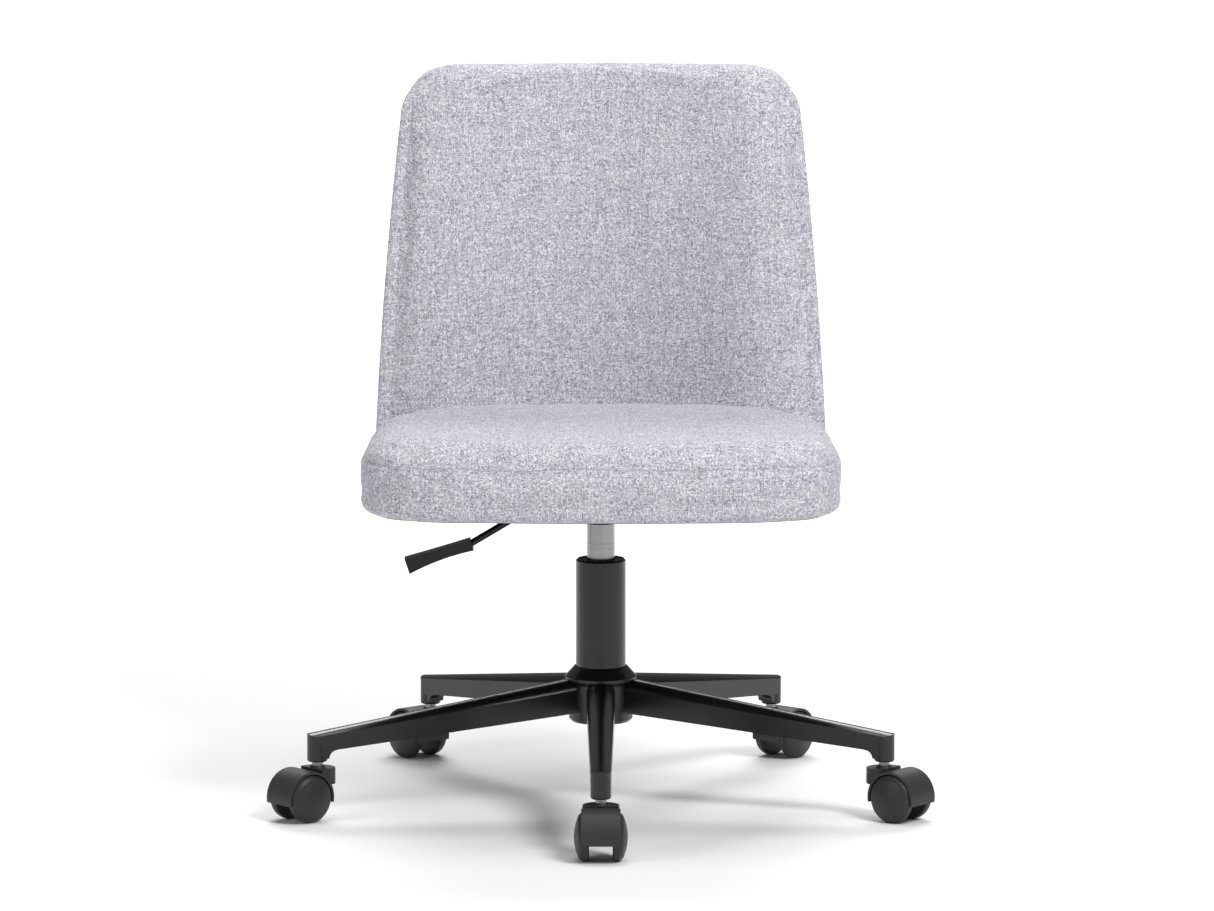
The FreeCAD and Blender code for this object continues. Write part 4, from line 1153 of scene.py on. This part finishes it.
@dataclass(frozen=True)
class SeatCushion:
    """Foam seat in a sewn case: top panel, border and a wavering seam between them."""

    fabric: HeatherFabric
    shape: SeatShape = SeatShape()
    key_points: tuple[Point, ...] = (
        (0.0, -231.0), (60.0, -230.2), (120.0, -226.5), (160.0, -221.5), (190.0, -210.5), (213.0, -192.0),
        (227.5, -169.0), (234.5, -142.0), (237.3, -108.0), (237.8, -70.0), (236.8, -20.0), (234.0, 25.0),
        (229.0, 58.0), (219.0, 83.0), (205.0, 103.0), (193.0, 122.0), (176.0, 142.0), (150.0, 155.0),
        (110.0, 163.0), (60.0, 167.0), (0.0, 168.5),
    )
    outline_steps: int = 6
    frontal: Point = (0.2, 0.6)
    rearward: Point = (0.07, 0.07)
    under_steps: int = 7
    over_steps: int = 11
    over_power: float = 1.4
    top_centre: Point = (0.0, -0.03)
    top_steps: int = 8
    top_spread: float = 8.3
    dome_power: float = 2.2
    held: float = 4.0 * MM
    free: float = 18.0 * MM
    tuck_width: float = 2.6e-3
    puff_lift: float = 8e-3
    puff_width: float = 6e-3
    ruffle_width: float = 14e-3
    tuck: float = 0.8
    puff: float = 0.5
    ruffle: float = 0.7
    stuffing: Stuffing = Stuffing(reach=6.0 * MM, share=0.8)

    def outline(self) -> list[Vector]:
        """Draw a smooth plan outline through the key points.

        Returns:
            Closed loop of points.
        """
        half = [Vector((x * MM, y * MM)) for x, y in self.key_points]
        before = Vector((-half[1].x, half[1].y))
        after = Vector((-half[-2].x, half[-2].y))
        keys = [before] + half + [after]
        fine = []
        for k in range(1, len(keys) - 2):
            a, b, c, d = keys[k - 1:k + 3]
            for i in range(self.outline_steps):
                t = i / self.outline_steps
                fine.append(0.5 * (
                    2 * b + (c - a) * t + (2 * a - 5 * b + 4 * c - d) * t * t
                    + (3 * b - a - 3 * c + d) * t ** 3
                ))
        fine.append(half[-1])
        return fine + [Vector((-p.x, p.y)) for p in reversed(fine[1:-1])]

    def ring(self, profile: Callable[[float, float], Point]) -> list[Vector]:
        """Follow the outline at one step of a profile.

        Args:
            profile: From how far a place is frontal and rearward to its inset and height.

        Returns:
            Closed loop of points.
        """
        s = self.shape
        outline = self.outline()
        row = []
        for point, normal in zip(outline, inward_normals(outline)):
            frontal = smooth((normal.y - self.frontal[0]) / self.frontal[1])
            rearward = smooth((point.y - self.rearward[0]) / self.rearward[1])
            inset, height = profile(frontal, rearward)
            spot = point + normal * (inset - s.outset)
            row.append(Vector((spot.x, spot.y, s.low_z(point.y) + height)))
        return row

    def case(self) -> bpy.types.Object:
        """Make the closed case before it is stuffed.

        Returns:
            The piece.
        """
        s = self.shape
        base = ((0.040, 3.0 * MM), (0.033, 1.0 * MM), (0.027, -s.wrap))
        rows = [self.ring(lambda frontal, rearward, spot=spot: spot) for spot in base]
        for i in range(self.under_steps + 1):
            share = i / self.under_steps
            rows.append(self.ring(lambda frontal, rearward: s.under(share, frontal)))
        for i in range(1, self.over_steps + 1):
            share = (i / self.over_steps) ** self.over_power
            rows.append(self.ring(lambda frontal, rearward: s.over(share, frontal, rearward)))
        edge = rows[-1]
        centre = Vector((*self.top_centre, 0.0))
        for step in range(1, self.top_steps + 1):
            share = 1 - step / self.top_spread
            row = []
            for point in edge:
                x = centre.x + (point.x - centre.x) * share
                y = centre.y + (point.y - centre.y) * share
                dome = s.crown * (1 - share ** self.dome_power)
                row.append(Vector((x, y, s.low_z(y) + s.thick + dome)))
            rows.append(row)
        return skin(rows, "seat_upholstery")

    def _freedom(self, point: Vector) -> float:
        """How freely the cloth moves: held where it is stapled to the board, free above."""
        return smooth((point.z - self.shape.low_z(point.y) - self.held) / self.free)

    def tuck_seam(self, piece: bpy.types.Object) -> None:
        """Draw the cloth in along the seam and ruffle it a little.

        Args:
            piece: The stuffed cushion.
        """
        s = self.shape
        shifts = []
        for vertex in piece.data.vertices:
            height = vertex.co.z - s.low_z(vertex.co.y)
            near = bell(height - s.seam, self.tuck_width)
            puff = bell(height - s.seam - self.puff_lift, self.puff_width)
            band = bell(height - s.seam, self.ruffle_width)
            ruffle = noise.noise(vertex.co * 38.0) + noise.noise(vertex.co * 90.0) * 0.4
            away = Vector((vertex.normal.x, vertex.normal.y, vertex.normal.z * 0.5))
            shifts.append(away * (self.puff * puff - self.tuck * near + self.ruffle * ruffle * band) * MM)
        for vertex, shift in zip(piece.data.vertices, shifts):
            vertex.co += shift

    def build(self) -> None:
        piece = self.case()
        self.stuffing.fill(piece, self._freedom)
        self.tuck_seam(piece)
        clothe(piece, self.fabric.build("seat heather cloth"))
        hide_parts("seat_cushion")
        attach(piece, "seat")
        LOG.info("%s: %d faces", piece.name, len(piece.data.polygons))


@dataclass
class UndersideCloth:
    """Thin cloth stapled under the seat board, open round the plate and the back brackets."""

    outline: Sequence[Vector]
    shape: SeatShape
    material: bpy.types.Material
    inset: float = 17.0 * MM
    margin: float = 1.5 * MM
    bracket_width: float = 33.0 * MM
    bracket_end: float = 0.155
    pitch: float = 12.0 * MM
    offset: float = 0.3 * MM
    columns: range = range(-18, 19)
    rows: range = range(-18, 14)
    drop: float = 0.9 * MM
    sag: float = 0.6
    thick: float = 0.5 * MM

    def __post_init__(self) -> None:
        """Inset the cloth's edge from the seat's outline and find its openings."""
        self.edge = [
            point + normal * self.inset
            for point, normal in list(zip(self.outline, inward_normals(self.outline)))[::2]
        ]
        self.holes = self._holes()

    def _holes(self) -> list[tuple[float, float, float, float]]:
        """Find the openings round the plate and the brackets.

        Returns:
            Rectangles as low x, high x, low y and high y.
        """
        low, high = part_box("seat_plate")
        margin = self.margin
        found = [(low.x - margin, high.x + margin, low.y - margin, high.y + margin)]
        low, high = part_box("back_brackets")
        for side in (-1, 1):
            x0, x1 = sorted((side * high.x + side * margin, side * (high.x - self.bracket_width)))
            found.append((x0, x1, low.y - margin, self.bracket_end))
        return found

    def _covers(self, x: float, y: float) -> bool:
        """Tell whether the cloth covers a place.

        Args:
            x: Place across.
            y: Place along.

        Returns:
            True inside the edge and outside every opening.
        """
        crossings = 0
        for a, b in zip(self.edge, self.edge[1:] + self.edge[:1]):
            if (a.y > y) != (b.y > y) and x < a.x + (y - a.y) * (b.x - a.x) / (b.y - a.y):
                crossings += 1
        clear = all(not (x0 < x < x1 and y0 < y < y1) for x0, x1, y0, y1 in self.holes)
        return crossings % 2 == 1 and clear

    def cut(self) -> tuple[list[Vector], list[tuple[int, ...]], float]:
        """Cut the cloth flat from its edge, its openings and an even grid between them.

        Returns:
            Points, faces and area.
        """
        points = [Vector((p.x, p.y)) for p in self.edge]
        edges = [(i, (i + 1) % len(points)) for i in range(len(points))]
        for x0, x1, y0, y1 in self.holes:
            first = len(points)
            points += [Vector(corner) for corner in ((x0, y0), (x1, y0), (x1, y1), (x0, y1))]
            edges += [(first + i, first + (i + 1) % 4) for i in range(4)]
        for i in self.columns:
            for j in self.rows:
                points.append(Vector((i * self.pitch + self.offset, j * self.pitch + self.offset)))
        verts, _, faces, *_ = delaunay_2d_cdt(points, edges, [], 0, 1e-6)
        kept, area = [], 0.0
        for face in faces:
            a, b, c = (verts[i] for i in face[:3])
            middle = (a + b + c) / 3
            if self._covers(middle.x, middle.y):
                kept.append(tuple(face))
                area += abs((b - a).cross(c - a)) / 2
        return verts, kept, area

    def build(self) -> None:
        verts, faces, area = self.cut()
        placed = []
        for p in verts:
            sag = 0.5 + 0.4 * noise.noise(Vector((p.x * 14.0, p.y * 14.0, 0.0)))
            placed.append((p.x, p.y, self.shape.low_z(p.y) - self.drop - sag * MM * self.sag))
        mesh = bpy.data.meshes.new("underside_dust_cloth")
        mesh.from_pydata(placed, [], faces)
        mesh.update()
        piece = link("underside_dust_cloth", mesh)
        piece.modifiers.new("thick", "SOLIDIFY").thickness = self.thick
        settle(piece)
        clothe(piece, self.material)
        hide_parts("underside_cloth")
        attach(piece, "seat")


# ------------------------------------------------------------------ hard parts and studio

class Slot(Enum):
    """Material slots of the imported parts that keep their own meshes."""

    POWDER = "black_powder_coat"
    STEEL = "polished_steel"
    ZINC = "bearing_steel"
    PLASTIC = "black_plastic"
    CASTER = "caster_plastic"
    WHEEL = "wheel_plastic"
    GRIP = "grip_plastic"
    RUBBER = "bumper_rubber"
    WOOD = "plywood"


FINISHES: dict[Slot, Finish] = {
    Slot.POWDER: PowderCoat(),
    Slot.STEEL: GroundSteel(rings=(0.2592, 0.2640)),
    Slot.ZINC: ZincSteel(),
    Slot.PLASTIC: MouldedPlastic(base=(0.014, 0.014, 0.015), roughness=0.5, scuffs=0.1),
    Slot.CASTER: MouldedPlastic(base=(0.030, 0.030, 0.032), roughness=0.52, grain=1900.0),
    Slot.WHEEL: MouldedPlastic(base=(0.024, 0.024, 0.026), roughness=0.44, grain=2600.0),
    Slot.GRIP: MouldedPlastic(base=(0.013, 0.013, 0.014), roughness=0.40, scuffs=0.15),
    Slot.RUBBER: MouldedPlastic(base=(0.018, 0.018, 0.018), roughness=0.75, grain=900.0),
    Slot.WOOD: Plywood(),
}


@dataclass(frozen=True)
class HardAssembly:
    """Rigid pieces of one sub-assembly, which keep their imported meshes.

    starts are the words that their names begin with.
    """

    starts: tuple[str, ...] = ()

    def dress(self, finishes: dict[str, bpy.types.Material]) -> None:
        """Give each piece its finish.

        Args:
            finishes: Material of each slot.
        """
        for entry in frame["record"]["subparts"]:
            node, slot = entry["node"], entry["material_slot"]
            if node.startswith(self.starts) and slot in finishes:
                clothe(frame["nodes"][node], finishes[slot])
                LOG.info("%s: %s", node, slot)


@dataclass(frozen=True)
class StarBase(HardAssembly):
    """Hub, five legs with the casters' sleeves, and the column tube with its bush."""

    starts: tuple[str, ...] = ("base_hub", "leg_", "caster_sleeves", "column_")


@dataclass(frozen=True)
class GasLift(HardAssembly):
    """Cylinder on its rod and bearing, with the valve button and the taper socket."""

    starts: tuple[str, ...] = (
        "gas_", "cylinder_", "piston_", "bearing_", "retaining_", "bumper", "valve_", "taper_",
    )


@dataclass(frozen=True)
class Casters(HardAssembly):
    """Five hooded twin-wheel casters with their stems and axles."""

    starts: tuple[str, ...] = ("caster_front_", "caster_right_", "caster_rear_", "caster_left_")


@dataclass(frozen=True)
class Lever(HardAssembly):
    """Release lever with its bracket, pin and grip."""

    starts: tuple[str, ...] = ("lever_",)


@dataclass(frozen=True)
class SeatFrame(HardAssembly):
    """Plate, board, shell and brackets that carry the cushions, with their bolts and nuts."""

    starts: tuple[str, ...] = (
        "seat_plate", "seat_board", "plate_bolts", "tee_nuts", "back_shell", "back_brackets", "bracket_bolts",
    )


@dataclass(frozen=True)
class Lamp:
    """One area light: where it hangs, where it points, its size and its power."""

    name: str
    place: tuple[float, float, float]
    aim: tuple[float, float, float]
    size: float
    power: float

    def hang(self) -> None:
        """Put the light in the scene."""
        light = bpy.data.lights.new(self.name, "AREA")
        light.shape = "DISK"
        light.size = self.size
        light.energy = self.power
        lamp = bpy.data.objects.new(self.name, light)
        bpy.context.scene.collection.objects.link(lamp)
        lamp.location = self.place
        direction = Vector(self.aim) - Vector(self.place)
        lamp.rotation_euler = direction.to_track_quat("-Z", "Y").to_euler()


@dataclass(frozen=True)
class Studio:
    """Pale floor, soft lights and the camera."""

    distance: float = 11.353
    tilt: float = 0.1491
    pivot: float = 0.400
    aim: tuple[float, float, float] = (0.0062, 0.0, 0.3517)
    width_at_aim: float = 1.2137
    sensor: float = 36.0
    far: float = 100.0
    air: float = 0.2
    floor_rings: tuple[float, ...] = (0.4, 1.2, 3.0, 7.0, 16.0)
    floor_sides: int = 48
    lamps: tuple[Lamp, ...] = (
        Lamp("key", (2.0, -2.4, 3.3), (0.0, 0.0, 0.45), 1.6, 118.0),
        Lamp("fill", (-3.2, -2.6, 1.6), (0.0, 0.0, 0.4), 0.9, 28.0),
        Lamp("top", (0.0, 0.1, 3.8), (0.0, 0.0, 0.3), 2.2, 50.0),
        Lamp("backdrop", (0.0, 4.6, 4.4), (0.0, 5.0, 0.0), 4.0, 330.0),
    )

    def floor(self) -> None:
        """Wide level floor of backdrop paper that fills the frame from every side."""
        rings, count = self.floor_rings, self.floor_sides
        points, faces = [(0.0, 0.0, 0.0)], []
        for radius in rings:
            points += [(radius * math.cos(t), radius * math.sin(t), 0.0) for t in turns(count)]
        for i in range(count):
            j = (i + 1) % count
            faces.append((0, 1 + i, 1 + j))
            for ring in range(len(rings) - 1):
                near, far = 1 + ring * count, 1 + (ring + 1) * count
                faces.append((near + i, far + i, far + j, near + j))
        mesh = bpy.data.meshes.new("studio_floor")
        mesh.from_pydata(points, [], faces)
        mesh.update()
        floor = link("studio_floor", mesh)
        clothe(floor, StudioPaper().build("studio paper"))

    def world(self) -> None:
        """Even white surroundings."""
        world = bpy.data.worlds.new("studio_air")
        bpy.context.scene.world = world
        world.use_nodes = True
        back = world.node_tree.nodes["Background"]
        back.inputs["Color"].default_value = (1.0, 1.0, 1.0, 1.0)
        back.inputs["Strength"].default_value = self.air

    def camera(self) -> None:
        """Long lens a little above the seat."""
        data = bpy.data.cameras.new("camera")
        data.sensor_width = self.sensor
        data.lens = data.sensor_width * self.distance / self.width_at_aim
        data.clip_end = self.far
        camera = bpy.data.objects.new("camera", data)
        bpy.context.scene.collection.objects.link(camera)
        place = Vector((
            0.0, -self.distance * math.cos(self.tilt), self.pivot + self.distance * math.sin(self.tilt),
        ))
        camera.location = place
        camera.rotation_euler = (Vector(self.aim) - place).to_track_quat("-Z", "Y").to_euler()
        bpy.context.scene.camera = camera

    def build(self) -> None:
        """Set up the whole studio."""
        self.floor()
        self.world()
        for lamp in self.lamps:
            lamp.hang()
        self.camera()
        bpy.context.scene.view_settings.view_transform = "Standard"
        LOG.info("studio: %d lamps", len(self.lamps))


def main() -> None:
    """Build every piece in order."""
    logging.basicConfig(level=logging.INFO, format="%(message)s")
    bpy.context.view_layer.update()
    finishes = {slot.value: finish.build(slot.value) for slot, finish in FINISHES.items()}
    for assembly in (StarBase(), GasLift(), Casters(), Lever(), SeatFrame()):
        assembly.dress(finishes)
    Backrest(HeatherFabric().build("back heather cloth")).build()
    shape = SeatShape()
    seam = Seam(low=shape.low_z(0.0), slope=math.tan(shape.rake), height=shape.seam)
    seat = SeatCushion(HeatherFabric(seam=seam))
    seat.build()
    UndersideCloth(seat.outline(), shape, NonWoven().build("underside cloth")).build()
    Studio().build()


if __name__ == "__main__":
    main()
